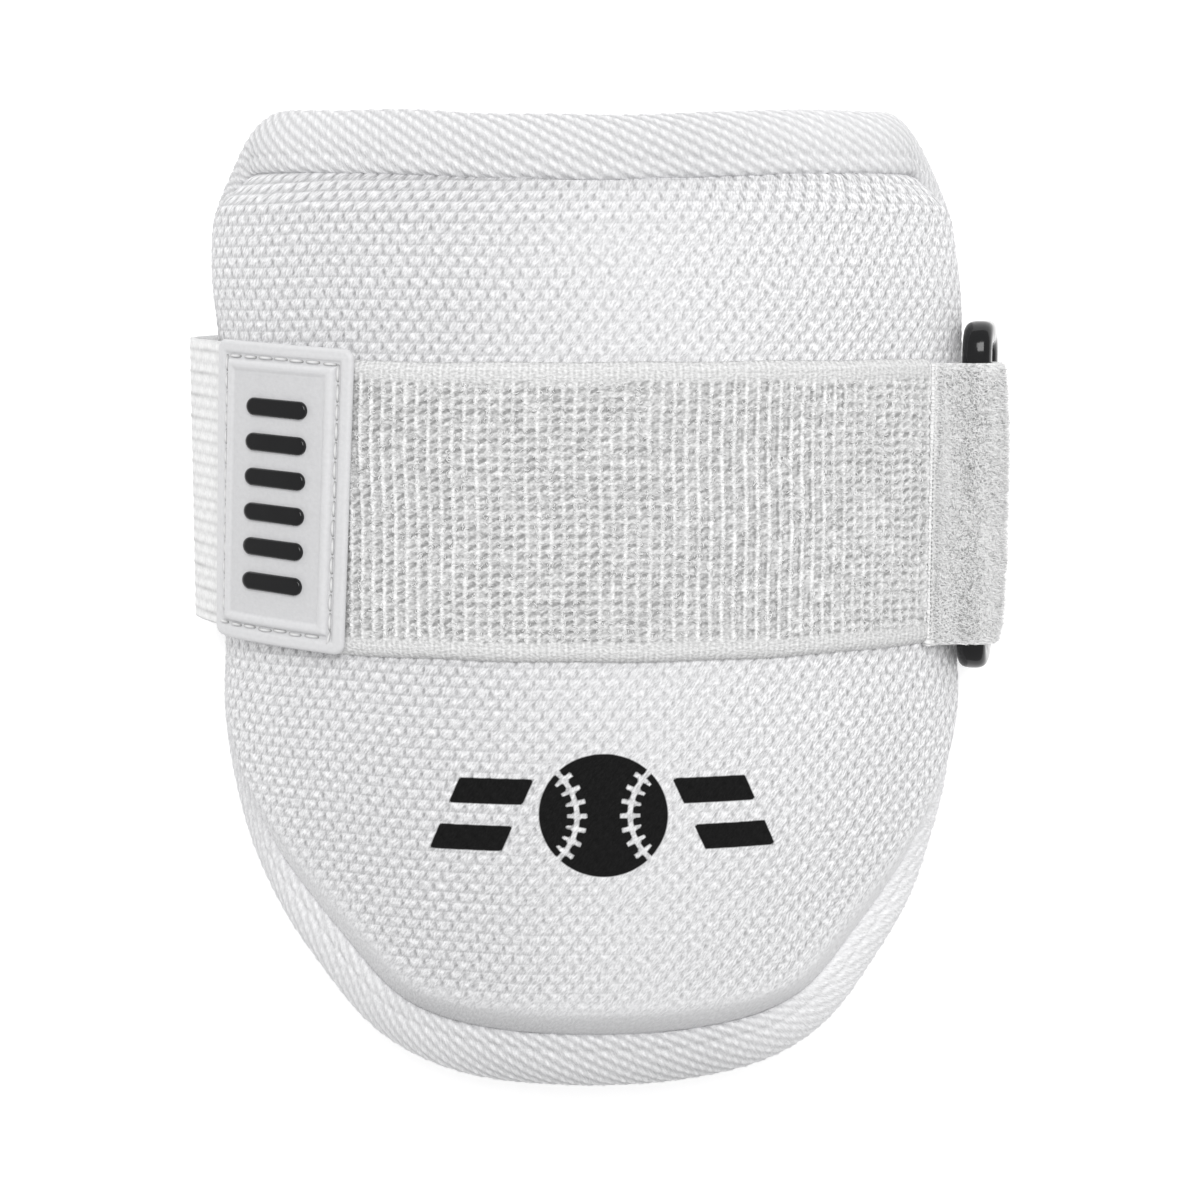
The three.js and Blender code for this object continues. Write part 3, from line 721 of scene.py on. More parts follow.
tape_out = points_of(tape_way[:, 1], -tape_way[:, 0])
across = across[:, None]
run = np.linspace(0, tape_length, len(tape_step), endpoint=False)[None, :]
ribs_round = 2 * round(tape_length / TAPE_RIB / 2)
rib_number = run * ribs_round / tape_length
tape_rib = wave(rib_number + across / TAPE_RIB_ACROSS, 1)
tape_thread = wave(2.5 * rib_number + 0.5 * across / TAPE_RIB_ACROSS, 1)
tape_relief = tape_rib**0.9 * (0.45 + 0.55 * tape_thread)
edge_fade = ramp(across, 0, TAPE_EDGE) * ramp(across, tape_width, tape_width - TAPE_EDGE)
crease = hump(across - wander(run, size=0.25, seed=11), CREASE_FROM_EDGE, CREASE_WIDTH)
tape_lift = TAPE_RELIEF * (tape_relief - 0.5) * edge_fade - CREASE_DEPTH * crease
tape_lift = tape_lift + wander(run + 3 * across, size=0.12, seed=12)
tape_inset = tape_front[:, :1] + tape_out[:, :1] * tape_lift
tape_inset = tape_inset + wander(run, size=0.22, seed=13) * ramp(across, 6, 0)
tape_level = tape_front[:, 1:] + tape_out[:, 1:] * tape_lift
outer = inside_edge(tape_edge, tape_inset, tape_level - RIM_DEPTH - tape_step)
inner = np.stack([
    inside_edge(tape_edge, inset, level - RIM_DEPTH - tape_step) for inset, level in TAPE_INSIDE
])
tape_points = np.concatenate([outer, inner, outer[:1]])
inside_across = tape_width + np.arange(1, len(inner) + 2)[:, None] * INSIDE_SPACING
tape_across = np.concatenate([across, inside_across])
tape_flat = points_of(np.append(run, tape_length), tape_across)
# Painted light: the tape is lightened on the pad's sides, more on the right and less towards the upper end.
side_painted_light = ramp(np.abs(tape_place[:, 0]), 22, 52) * np.maximum(ramp(tape_place[:, 1], 50, 20), 0.35)
side_painted_light = side_painted_light * (0.55 + 0.15 * np.sign(tape_place[:, 0]))
tape_shade = tape_relief + side_painted_light * (1 - tape_relief)
tape_shade = np.concatenate([tape_shade, np.full((len(inner) + 1, len(tape_step)), 0.5)])
tape_mesh = mesh_of("edge_binding_tape", *grid(tape_points, tape_flat, joined=True), relief=tape_shade)
close_poles(tape_mesh)
tape_finish = cloth_finish(
    "twill_tape", top=(0.95, 0.95, 0.96), hollow=(0.54, 0.54, 0.55),
    angle=np.radians(60), per_mm=2.6, length=3.0, share=0.16, depth_mm=0.1,
)
binding = add_piece("binding_tape", tape_mesh, tape_finish)
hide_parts("edge_binding")


# The band is two-inch knitted elastic, sewn flat across the pad, with a plain ribbed selvage along each edge.
# The rest of its face is a knit of ribs and rows with meshes between, darkened as painted shade, under curls
# of thread for hooks.
BAND_LEFT, BAND_RIGHT = -50, 62
BAND_LEVEL, BAND_WALL = 1.5, 0.6
SELVAGE, SELVAGE_RIB, SELVAGE_LINE = 3.4, 0.95, 1.1
KNIT_RIB, KNIT_ROW, KNIT_HEIGHT, KNIT_ZIGZAG = 2.05, 1.63, 0.5, 0.22
RIBBED_EVERY, MOST_RIBBED = 66, -42
CROSSINGS = 160
EDGE_ROUND, EDGE_ROUND_OVER = 1.35, 1.7
CURL_TOTAL, CURL_TO_RIB = 5400, 0.45
ALONG_WAY = np.array([0.0, 1.0, 0.0])
band_reach = np.linspace(BAND_LEFT, BAND_RIGHT, 312)[None, :]
band_half = STRAP_WIDTH / 2 + wander(band_reach, size=0.25, seed=21)
band_along = np.linspace(-1, 1, 136)[:, None] * band_half
from_edge = band_half - np.abs(band_along)
in_selvage = ramp(from_edge, SELVAGE + 0.4, SELVAGE - 0.4)
in_knit = 1 - in_selvage
draw = np.random.default_rng(26)
knit_reach = band_reach + wander(band_along, size=0.2, seed=22)
knit_reach = knit_reach + wander(band_along * 3 + band_reach, size=0.15, seed=23)
knit_along = band_along + wander(band_reach, size=0.3, seed=24)
knit_along = knit_along + wander(band_reach * 3 + band_along, size=0.2, seed=25)
row_place = knit_along + KNIT_ZIGZAG * np.cos(2 * np.pi * knit_reach / KNIT_RIB)
ribbed = 0.5 + 0.42 * np.cos(2 * np.pi * (band_reach - MOST_RIBBED) / RIBBED_EVERY)
rib_number = np.round(knit_reach / KNIT_RIB).astype(int) + CROSSINGS // 2
row_number = np.round(row_place / KNIT_ROW).astype(int) + CROSSINGS // 2
crossing_tone = draw.uniform(0.7, 1.15, (CROSSINGS, CROSSINGS))[rib_number, row_number]
rib_height = (0.62 + 0.38 * ribbed) * wave(knit_reach, KNIT_RIB) ** 1.1
row_height = (1 - 0.42 * ribbed) * wave(row_place, KNIT_ROW) ** 1.1
knit = np.maximum(rib_height, row_height) * crossing_tone
knit = ramp(knit + draw.normal(0, 0.13, knit.shape), 0.2, 0.8)
knit_tone = 0.53 + 0.1 * ramp(band_reach, 0, BAND_RIGHT) + 0.3 * (knit - 0.6)
knit_tone = knit_tone + draw.normal(0, 0.13, knit.shape)
selvage_tone = 0.4 + 0.3 * wave(band_reach, SELVAGE_RIB) + 0.12 * wave(from_edge, SELVAGE_LINE)
band_relief = in_selvage * selvage_tone + in_knit * knit_tone
knit_height = in_knit * KNIT_HEIGHT * knit + in_selvage * (0.3 + 0.12 * band_relief)
band_height = BAND_LEVEL + knit_height - EDGE_ROUND * ramp(from_edge, EDGE_ROUND_OVER, 0) ** 2
band_points = on_face(band_reach, band_along, band_height)
band_flat = points_of(knit_reach, knit_along)
band_mesh = mesh_of("loop_band_ground", *grid(band_points, band_flat), relief=band_relief)
to_left = ramp(band_reach, 10, -30)
to_right = ramp(band_reach, 5, 30) * ramp(band_reach, 50, 38)
add_shares(band_mesh, {
    "rib_share": in_knit * (0.16 + 0.14 * np.maximum(to_left, to_right)),
    "dash_share": in_knit * (-0.48 - 0.17 * to_left + 0.2 * to_right),
    "furrow_share": in_knit * (-0.5 * to_right),
})


def off_line(tree, place, shift):
    """How far a place is from the nearest whole number plus a shift, with its sign and without."""
    part = maths(tree, "FRACT", maths(tree, "ADD", place, 0.5 - shift))
    signed = maths(tree, "SUBTRACT", part, 0.5)
    return signed, maths(tree, "ABSOLUTE", signed)


def product(tree, number, *others):
    """Numbers multiplied together."""
    for other in others:
        number = maths(tree, "MULTIPLY", number, other)
    return number


# The knit's fine lines on the flat cloth: a thin light rib at each pitch, a slanted dark dash at each row
# between two ribs, as strong as chance has it, and a broken furrow beside each rib; dashes and furrows are
# painted shade.
loop_knit, given, result = new_group(
    "loop_knit",
    {"Place": None, "Rib pitch": 2.0, "Row pitch": 1.6, "Slope": 0.6},
    ["Rib", "Dash", "Furrow"],
)
cell = vector_of(loop_knit, given["Rib pitch"], given["Row pitch"])
in_cells = vector_maths(loop_knit, "DIVIDE", given["Place"], cell)
in_cell = add_node(loop_knit, "ShaderNodeSeparateXYZ", {0: in_cells}).outputs
breaks = noise(loop_knit, in_cells, 0.7, 1.0, "2D")
aside, off_middle = off_line(loop_knit, in_cell["X"], 0.5)
lowered = maths(loop_knit, "SUBTRACT", in_cell["Y"], product(loop_knit, aside, given["Slope"]))
dash_column, dash_row = (maths(loop_knit, "FLOOR", place) for place in (in_cell["X"], lowered))
dash_cell = vector_of(loop_knit, dash_column, dash_row, 0.0)
chance = add_node(loop_knit, "ShaderNodeTexWhiteNoise", {"Vector": dash_cell}, noise_dimensions="2D")
feed(loop_knit, result, {
    "Rib": product(
        loop_knit,
        spread(loop_knit, off_line(loop_knit, in_cell["X"], 0.0)[1], 0.2, 0.05),
        spread(loop_knit, breaks, 0.7, 0.45),
    ),
    "Dash": product(
        loop_knit,
        spread(loop_knit, off_line(loop_knit, lowered, 0.5)[1], 0.26, 0.08),
        spread(loop_knit, off_middle, 0.4, 0.26),
        spread(loop_knit, chance.outputs["Value"], 0.0, 0.9),
    ),
    "Furrow": product(
        loop_knit,
        spread(loop_knit, off_line(loop_knit, in_cell["X"], -0.24)[1], 0.16, 0.05),
        spread(loop_knit, breaks, 0.4, 0.6),
    ),
})

band_finish = cloth_finish(
    "band_ground", top=(0.94, 0.94, 0.94), hollow=(0.36, 0.36, 0.36),
    per_mm=2.6, length=1.6, share=0.34, depth_mm=0.1,
)
tree = band_finish.node_tree
shade = tree.nodes["shade"]
knit_lines = add_node(
    tree,
    "ShaderNodeGroup",
    {"Place": tree.nodes["flat"].outputs["UV"], "Rib pitch": KNIT_RIB, "Row pitch": KNIT_ROW},
    node_tree=loop_knit,
).outputs
lit = shade.inputs["Relief"].links[0].from_socket
for label, part in (("rib_share", "Rib"), ("dash_share", "Dash"), ("furrow_share", "Furrow")):
    lit = maths(tree, "MULTIPLY_ADD", knit_lines[part], share_of(tree, label), lit)
feed(tree, shade, {"Relief": lit})


def add_wall(piece, thickness, offset):
    """Gives a sheet its wall: all on its inner side at an offset of -1, or half on each side at 0."""
    wall = piece.modifiers.new("thickness", "SOLIDIFY")
    wall.thickness = thickness * MM
    wall.offset = offset


band = add_piece("band_ground", band_mesh, band_finish)
add_wall(band, BAND_WALL, -1)
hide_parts("loop_band")


def arches(base, span_way, up_way, span, height, radius, lean, segments=3, sides=3):
    """Small thread arches, one for each base point: half an ellipse along span_way, rising along up_way.
    Each is swept with a section of a few sides, and its top is carried sideways by lean.
    Gives what mesh_of takes, with a relief, the sine of the turn, that darkens each arch towards its feet as
    painted shade."""
    turn = np.linspace(0, np.pi, segments + 1)[None, :, None]
    ring = np.linspace(0, 2 * np.pi, sides, endpoint=False)
    side_way = np.cross(up_way, span_way)[:, None]
    span_way, up_way = span_way[:, None], up_way[:, None]
    span, height, radius, lean = (a[:, None, None] for a in (span, height, radius, lean))
    middle = base[:, None] + np.cos(turn) * span / 2 * span_way + np.sin(turn) * height * up_way
    middle = middle + np.sin(turn) * lean * side_way
    out = np.cos(turn) * span_way + np.sin(turn) * up_way
    points = middle[:, :, None] + radius[..., None] * (
        np.cos(ring)[:, None] * out[:, :, None] + np.sin(ring)[:, None] * side_way[:, :, None]
    )
    index = np.arange(points[..., 0].size).reshape(points.shape[:3])
    wrapped = np.concatenate([index, index[:, :, :1]], axis=2)
    corners = (wrapped[:, :-1, :-1], wrapped[:, :-1, 1:], wrapped[:, 1:, 1:], wrapped[:, 1:, :-1])
    shade = np.broadcast_to(np.sin(turn)[..., None], points[..., :1].shape)
    return points.reshape(-1, 3), np.stack(corners, axis=-1).reshape(-1, 4), None, shade


draw = np.random.default_rng(31)
pile_half = STRAP_WIDTH / 2 - SELVAGE - 0.3
pile_along = draw.uniform(-pile_half, pile_half, CURL_TOTAL)
pile_reach = draw.uniform(BAND_LEFT + 0.8, BAND_RIGHT - 0.8, CURL_TOTAL)
to_rib = np.round(pile_reach / KNIT_RIB) * KNIT_RIB - pile_reach
pile_reach = np.clip(pile_reach + CURL_TO_RIB * to_rib, BAND_LEFT + 0.6, BAND_RIGHT - 0.6)
pile_reach = pile_reach - wander(pile_along, size=0.2, seed=22)
pile_turn = np.pi / 2 + draw.normal(0, 0.9, CURL_TOTAL)[:, None]
ahead, behind = (on_face(pile_reach + step, pile_along, BAND_LEVEL) for step in (0.1, -0.1))
round_way = unit(ahead - behind)
# Each curl's relief darkens it towards its feet as painted shade.
pile_mesh = mesh_of("loop_pile", *arches(
    on_face(pile_reach, pile_along, BAND_LEVEL + 0.05),
    np.cos(pile_turn) * round_way + np.sin(pile_turn) * ALONG_WAY,
    np.cross(round_way, ALONG_WAY),
    span=draw.uniform(0.5, 1.1, CURL_TOTAL),
    height=draw.uniform(0.3, 0.75, CURL_TOTAL),
    radius=draw.uniform(0.07, 0.12, CURL_TOTAL),
    lean=draw.normal(0, 0.25, CURL_TOTAL),
))
pile_finish = cloth_finish("loop_pile", top=(0.98, 0.98, 0.98), hollow=(0.5, 0.5, 0.5), share=0.0)
add_piece("loop_pile", pile_mesh, pile_finish)


# The tab is a short strip of brushed fleece webbing, sewn on where the band ends.
# It goes over the ring's front bar and back under itself, and its pile hides the weave, with dark specks over
# the fold.
TAB_THICKNESS = 1.6
TAB_SEWN_END = 66
TAB_SHIFT, TAB_NARROWER = -0.6, 0.3
TAB_BULGE, TAB_BULGE_OVER = 0.9, 4.5
TAB_SPECKS_AT, TAB_SPECKS_OVER = 7.8, 3.2
FIBRE_TOTAL, FIBRE_FROM_END, FIBRE_FADE = 17000, 0.5, 2.5
RING_LEAN = np.radians(17.4)
BAR_SPACING = 14
BAR_ACROSS, REAR_BAR_ACROSS, BAR_ALONG = 5.2, 4.2, 4.6
BAR_PLAY = 0.15
FRONT_BAR_REACH, FRONT_BAR_HEIGHT = 70.8, 4.75
CLEARANCE, STRAP_TOP = 0.3, 2


def section_at(reach, height):
    """A point of the section across the arm, x and z, at a height off the face."""
    return on_face(reach, 0.0, height)[..., [0, 2]]


def arc(middle, radius, first, last, count=40):
    """Points round a middle between two angles in degrees."""
    turn = np.radians(np.linspace(first, last, count))
    return np.asarray(middle) + radius * points_of(np.cos(turn), np.sin(turn))


def ribbon(path, along, lift):
    """A strap's surface: a path in x and z carried along the arm, each point lifted off it outward."""
    way = unit(np.gradient(path, axis=0))
    return points_of(path[:, 0] - way[:, 1] * lift, along, path[:, 1] + way[:, 0] * lift)


front_bar = section_at(FRONT_BAR_REACH, FRONT_BAR_HEIGHT)
rear_bar = front_bar + BAR_SPACING * np.array([np.sin(RING_LEAN), -np.cos(RING_LEAN)])
tab_wrap = BAR_ACROSS / 2 + BAR_PLAY + TAB_THICKNESS / 2
tab_level = CLEARANCE + STRAP_TOP - TAB_THICKNESS / 2
tab_path, tab_length = evenly(np.concatenate([
    section_at(np.linspace(BAND_RIGHT + 0.05, BAND_RIGHT + 2, 4), tab_level),
    arc(front_bar, tab_wrap, 88, -137),
    section_at(np.linspace(FRONT_BAR_REACH - 2, TAB_SEWN_END, 8), CLEARANCE + TAB_THICKNESS / 2),
]), 84)
tab_run = np.linspace(0, tab_length, len(tab_path))[None, :]
tab_half = STRAP_WIDTH / 2 - TAB_NARROWER
tab_share = np.linspace(-1, 1, 104)[:, None]
tab_along = TAB_SHIFT + tab_share * (tab_half + wander(tab_run, size=0.2, seed=41))
fold_run = tab_run[0, np.argmax(tab_path[:, 0])]


def tab_bulge(run, share):
    """How far the folded fleece stands off the bar: most in the fold's middle, and none at the tab's ends."""
    return TAB_BULGE * (1 - np.abs(share) ** 3) * hump(run, fold_run, TAB_BULGE_OVER)


tab_bump = wander(tab_run * 3 + tab_along, size=0.12, seed=42) + tab_bulge(tab_run, tab_share)
tab_points = ribbon(tab_path, tab_along, tab_bump)
draw = np.random.default_rng(43)
# Dark specks over the fold: the ground is darkened at random there, and a share of the fibres is made dark.
tab_speckled = hump(tab_run, TAB_SPECKS_AT, TAB_SPECKS_OVER)
tab_specks = np.clip(0.98 + 0.5 * tab_speckled * (draw.normal(0, 1, tab_points.shape[:2]) - 0.4), 0, 1)
tab_mesh = mesh_of("ring_tab_ground", *grid(tab_points, points_of(tab_run, tab_along)), relief=tab_specks)
tab_finish = cloth_finish(
    "fleece_ground", top=(0.97, 0.97, 0.97), hollow=(0.42, 0.42, 0.42), per_mm=1.6, length=1.5, depth_mm=0.3
)
tab = add_piece("tab_ground", tab_mesh, tab_finish)
add_wall(tab, TAB_THICKNESS, 0)
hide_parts("ring_tab")


def fibres(base, up_way, side_way, height, reach, width, bend):
    """Brushed fibres, one for each base point: a flat strip of three steps that rises, curls over and
    narrows to its tip. Gives points, faces and relief, which darkens each fibre towards its root as painted
    shade."""
    t = np.linspace(0, 1, 4)[None, :, None]
    height, reach, width, bend = (a[:, None, None] for a in (height, reach, width, bend))
    up, out = up_way[:, None], side_way[:, None]
    broad = np.cross(up_way, side_way)[:, None]
    line = base[:, None] + up * height * np.sin(t * bend) + out * reach * t**1.4
    half = width * (1 - 0.55 * t) / 2
    points = np.stack([line - broad * half, line + broad * half], axis=2)
    index = np.arange(points[..., 0].size).reshape(points.shape[:3])
    corners = (index[:, :-1, 0], index[:, :-1, 1], index[:, 1:, 1], index[:, 1:, 0])
    shade = np.broadcast_to(0.6 + 0.4 * t[..., None], points[..., :1].shape)
    return points.reshape(-1, 3), np.stack(corners, axis=-1).reshape(-1, 4), shade


at = draw.uniform(0.03, 0.74, FIBRE_TOTAL) * (len(tab_path) - 1)
step_before = at.astype(int)
between = (at - step_before)[:, None]
fibre_line = tab_path[step_before] * (1 - between) + tab_path[step_before + 1] * between
fibre_way = unit(np.gradient(tab_path, axis=0))[step_before]
fibre_along = TAB_SHIFT + draw.uniform(-1, 1, FIBRE_TOTAL) * (STRAP_WIDTH / 2 - FIBRE_FROM_END)
fibre_up = points_of(-fibre_way[:, 1], 0.0, fibre_way[:, 0])
fibre_run = points_of(fibre_way[:, 0], 0.0, fibre_way[:, 1])
fibre_lift = tab_bulge(at * tab_length / (len(tab_path) - 1), (fibre_along - TAB_SHIFT) / tab_half)
fibre_lift = (fibre_lift + TAB_THICKNESS / 2)[:, None]
heading = draw.uniform(0, 2 * np.pi, FIBRE_TOTAL)[:, None]
from_end = ramp(np.abs(fibre_along - TAB_SHIFT), STRAP_WIDTH / 2, STRAP_WIDTH / 2 - FIBRE_FADE)
from_end = np.maximum(from_end, 0.3)
fuzz_points, fuzz_faces, fuzz_shade = fibres(
    points_of(fibre_line[:, 0], fibre_along, fibre_line[:, 1]) + fibre_up * fibre_lift,
    fibre_up,
    np.cos(heading) * fibre_run + np.sin(heading) * from_end[:, None] * ALONG_WAY,
    height=draw.uniform(0.35, 1.15, FIBRE_TOTAL) * from_end**0.5,
    reach=draw.uniform(0.3, 1.3, FIBRE_TOTAL),
    width=draw.uniform(0.1, 0.18, FIBRE_TOTAL),
    bend=draw.uniform(1.6, 2.8, FIBRE_TOTAL),
)
fibre_speckled = np.interp(at, np.arange(len(tab_path)), tab_speckled[0])
fibre_tone = np.where(draw.uniform(0, 1, FIBRE_TOTAL) < 0.2 * fibre_speckled, 0.0, 1.0)
fuzz_mesh = mesh_of("tab_fuzz", fuzz_points, fuzz_faces, relief=fuzz_shade * fibre_tone[:, None, None, None])
fuzz_finish = cloth_finish("brushed_pile", top=(1.0, 1.0, 1.0), hollow=(0.4, 0.4, 0.4), share=0.0)
add_piece("tab_fuzz", fuzz_mesh, fuzz_finish)


# The tab is sewn to the band's end with a row of small tight stitches of white thread.
# Each stitch is a low arch, with painted shade at its ends where the needle pulled them down.
SEAM_PITCH, SEAM_THREAD = 0.78, 0.14
SEAM_FROM_END, SEAM_PAST_BAND = 1.5, 0.25
seam_half = STRAP_WIDTH / 2 - SEAM_FROM_END
seam_along = np.arange(-seam_half, seam_half, SEAM_PITCH)
seam_total = len(seam_along)
seam_reach = BAND_RIGHT + SEAM_PAST_BAND + draw.normal(0, 0.05, seam_total)
seam_base = on_face(seam_reach, seam_along, tab_level + TAB_THICKNESS / 2 - 0.05)
seam_mesh = mesh_of("tab_stitches", *arches(
    seam_base,
    np.broadcast_to(ALONG_WAY, seam_base.shape),
    on_face(seam_reach, seam_along, tab_level + 1) - on_face(seam_reach, seam_along, tab_level),
    span=draw.uniform(0.5, 0.62, seam_total),
    height=draw.uniform(0.2, 0.3, seam_total),
    radius=np.full(seam_total, SEAM_THREAD),
    lean=draw.normal(0, 0.05, seam_total),
    segments=6,
    sides=6,
))
seam_finish = cloth_finish("seam_thread", top=(0.84, 0.84, 0.84), hollow=(0.1, 0.1, 0.1), share=0.0)
add_piece("tab_stitches", seam_mesh, seam_finish)


# The ring is a moulded loop of gloss black plastic, a rounded rectangle with two long bars.
# The tab holds its front bar, and the webbing runs round its rear one.
SLOT_LENGTH = 53.4
FRONT_CORNER, REAR_CORNER = 3.2, 4.2
RING_SHIFT = 0.4
BAR_SQUARENESS = 3
ring_half_along = SLOT_LENGTH / 2 + BAR_ALONG / 2
ring_line = np.concatenate([
    arc((x * (BAR_SPACING / 2 - radius), y * (ring_half_along - radius)), radius, start, start + 90, 24)
    for x, y, radius, start in (
        (1, 1, REAR_CORNER, 0),
        (-1, 1, FRONT_CORNER, 90),
        (-1, -1, FRONT_CORNER, 180),
        (1, -1, REAR_CORNER, 270),
    )
])
ring_line, ring_length = evenly(np.concatenate([ring_line, ring_line[:1]]), 260, joined=True)
ring_way = unit(np.roll(ring_line, -1, axis=0) - np.roll(ring_line, 1, axis=0))
ring_out = points_of(ring_way[:, 1], -ring_way[:, 0])
turn = np.linspace(0, 2 * np.pi, 29)[:, None]
squarish = np.abs(np.cos(turn)) ** BAR_SQUARENESS + np.abs(np.sin(turn)) ** BAR_SQUARENESS
squarish = squarish ** (-1 / BAR_SQUARENESS)
bar_out = BAR_ALONG / 2 * np.cos(turn) * squarish
ring_across = np.interp(ring_line[:, 0], [-2, 5], [BAR_ACROSS, REAR_BAR_ACROSS])
bar_up = ring_across / 2 * np.sin(turn) * squarish
in_plane = ring_line[None] + ring_out[None] * bar_out[..., None]
ring_middle = (front_bar + rear_bar) / 2
plane_way = (rear_bar - front_bar) / BAR_SPACING
ring_points = points_of(
    ring_middle[0] + in_plane[..., 0] * plane_way[0] - bar_up * plane_way[1],
    in_plane[..., 1] + RING_SHIFT,
    ring_middle[1] + in_plane[..., 0] * plane_way[1] + bar_up * plane_way[0],
)
ring_run = np.linspace(0, ring_length, len(ring_line) + 1)[None, :]
ring_flat = points_of(ring_run, turn * BAR_ACROSS / 2)
ring_mesh = mesh_of("strap_ring_bar", *grid(ring_points, ring_flat, joined=True))
close_poles(ring_mesh)
ring_finish, tree, shader = new_finish("gloss_black_plastic")
ripple = noise(tree, add_node(tree, "ShaderNodeTexCoord").outputs["Object"], 260.0, 4.0)
ripple_bump = add_node(tree, "ShaderNodeBump", {"Height": ripple, "Distance": 0.06 * MM})
feed(tree, shader, {
    "Base Color": mixed(tree, ripple, (0.002, 0.002, 0.0025, 1), (0.006, 0.006, 0.007, 1)),
    "Roughness": spread(tree, ripple, 0.0, 1.0, 0.06, 0.16),
    "Normal": ripple_bump.outputs["Normal"],
    "Specular IOR Level": 0.42,
})
ring = add_piece("ring_bar", ring_mesh, ring_finish)
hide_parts("strap_ring")


# The strap is ribbed elastic webbing: rubber cords in rows, covered by white yarn.
# It starts under the patch, goes round behind the arm and through the ring, and is folded back on itself.
WEBBING, WEBBING_RELIEF = 1.4, 0.2
WEBBING_RIB, WEBBING_PICK = 2.05, 1.5
WEBBING_START, WEBBING_LEAVES = -53, -74
WEBBING_SIDE = np.array([-72.6, 14.5])
SIDE_BULGE = 4.5
LEFT_BEND, RIGHT_BEND, FOLD_BEND = 13.6, 10.5, 7.4
FOLDED_END = 36
GATHERED_IN, GATHERED_SHIFT, GATHERED_OVER = 0.8, 1.0, 22
PATCH_TURN = np.radians(-3)
PATCH_REACH, PATCH_ALONG = -57, 1.8
TURNED_FOR, TURNED_OVER = 30, 35
wrap = REAR_BAR_ACROSS / 2 + BAR_PLAY + WEBBING / 2
under_level = CLEARANCE + STRAP_TOP - WEBBING / 2
under_patch = section_at(np.linspace(WEBBING_START, WEBBING_LEAVES, 12), under_level)
leaves_way = SIDE_BULGE * unit(under_patch[-1] - under_patch[-2])
shoulder = cubic(under_patch[-1], under_patch[-1] + leaves_way, WEBBING_SIDE + (0, SIDE_BULGE), WEBBING_SIDE)
left_middle = WEBBING_SIDE[0] + LEFT_BEND, WEBBING / 2 + LEFT_BEND
right_middle = rear_bar[0] + wrap - RIGHT_BEND, WEBBING / 2 + RIGHT_BEND
folded_level = WEBBING * 1.5 + CLEARANCE
fold_middle = rear_bar[0] - wrap - FOLD_BEND, folded_level + FOLD_BEND
webbing_path, webbing_length = evenly(np.concatenate([
    under_patch,
    shoulder[1:],
    arc(left_middle, LEFT_BEND, 180, 270)[1:],
    arc(right_middle, RIGHT_BEND, 270, 360),
    arc(rear_bar, wrap, 0, 180)[1:],
    arc(fold_middle, FOLD_BEND, 0, -90)[1:],
    [(FOLDED_END, folded_level)],
]), 256)
webbing_run = np.linspace(0, webbing_length, len(webbing_path))[None, :]
at_ring = webbing_run[0, np.argmax(webbing_path[:, 1] * (webbing_path[:, 0] > rear_bar[0] - 1))]
gathered = hump(webbing_run, at_ring, GATHERED_OVER)
webbing_half = STRAP_WIDTH / 2 + wander(webbing_run, size=0.15, seed=51) - GATHERED_IN * gathered
webbing_across = np.linspace(1, -1, 113)[:, None] * webbing_half
webbing_rib = np.abs(np.cos(np.pi * webbing_across / WEBBING_RIB)) ** 0.3
rib_number = np.floor(webbing_across / WEBBING_RIB + 0.5)
picks = wave(webbing_run + WEBBING_PICK / 2 * rib_number, WEBBING_PICK)
webbing_relief = webbing_rib * (0.8 + 0.2 * picks)
turned_up = hump(np.maximum(webbing_run, TURNED_FOR), TURNED_FOR, TURNED_OVER)
from_patch = webbing_run - (WEBBING_START - PATCH_REACH)
webbing_shift = (PATCH_ALONG + np.sin(-PATCH_TURN) * from_patch) * turned_up - GATHERED_SHIFT * gathered
webbing_points = ribbon(webbing_path, webbing_across + webbing_shift, WEBBING_RELIEF * (webbing_relief - 0.6))
webbing_flat = points_of(webbing_run, webbing_across)
webbing_mesh = mesh_of("elastic_webbing", *grid(webbing_points, webbing_flat), relief=webbing_relief)
webbing_finish = cloth_finish(
    "ribbed_elastic", top=(0.95, 0.95, 0.95), hollow=(0.5, 0.5, 0.5),
    angle=np.radians(90), per_mm=2.8, length=2.5, share=0.12, depth_mm=0.08,
)
webbing = add_piece("elastic_webbing", webbing_mesh, webbing_finish)
add_wall(webbing, WEBBING - 0.3, 0)
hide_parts("elastic_strap")


# The patch is moulded soft rubber, sewn through its thin flange on the strap's end as a pull.
# A raised frame runs inside the flange, round a lower grey field.
PATCH_WIDTH, PATCH_HEIGHT = 28.6, 52.6
PATCH_CORNER, LEAST_CORNER = 1.8, 0.3
PATCH_UNDERSIDE = 2.6
FIELD_LEVEL, GROOVE_LEVEL = 1.3, 0.8
FIELD_INSET, STITCH_INSET = 5.1, 2.65
# The patch's section: insets from its edge, and the level of its top at each.
PATCH_LEVELS = np.array([
    (0.0, 0.65), (0.25, 1.0), (0.6, 1.15), (1.6, 1.15), (2.0, 1.05), (2.3, GROOVE_LEVEL), (3.0, GROOVE_LEVEL),
    (3.25, 1.25), (3.6, 1.6), (4.0, 1.7), (4.5, 1.62), (4.8, 1.45),
    (FIELD_INSET, FIELD_LEVEL), (60, FIELD_LEVEL),
])
# The rows under the patch and up its side: inset, share of the way out from the middle, and level.
PATCH_UNDER = np.array([(0.3, 0, 0), (0.3, 0.5, 0), (0.3, 1, 0), (0.1, 1, 0.1), (0.0, 1, 0.35)])


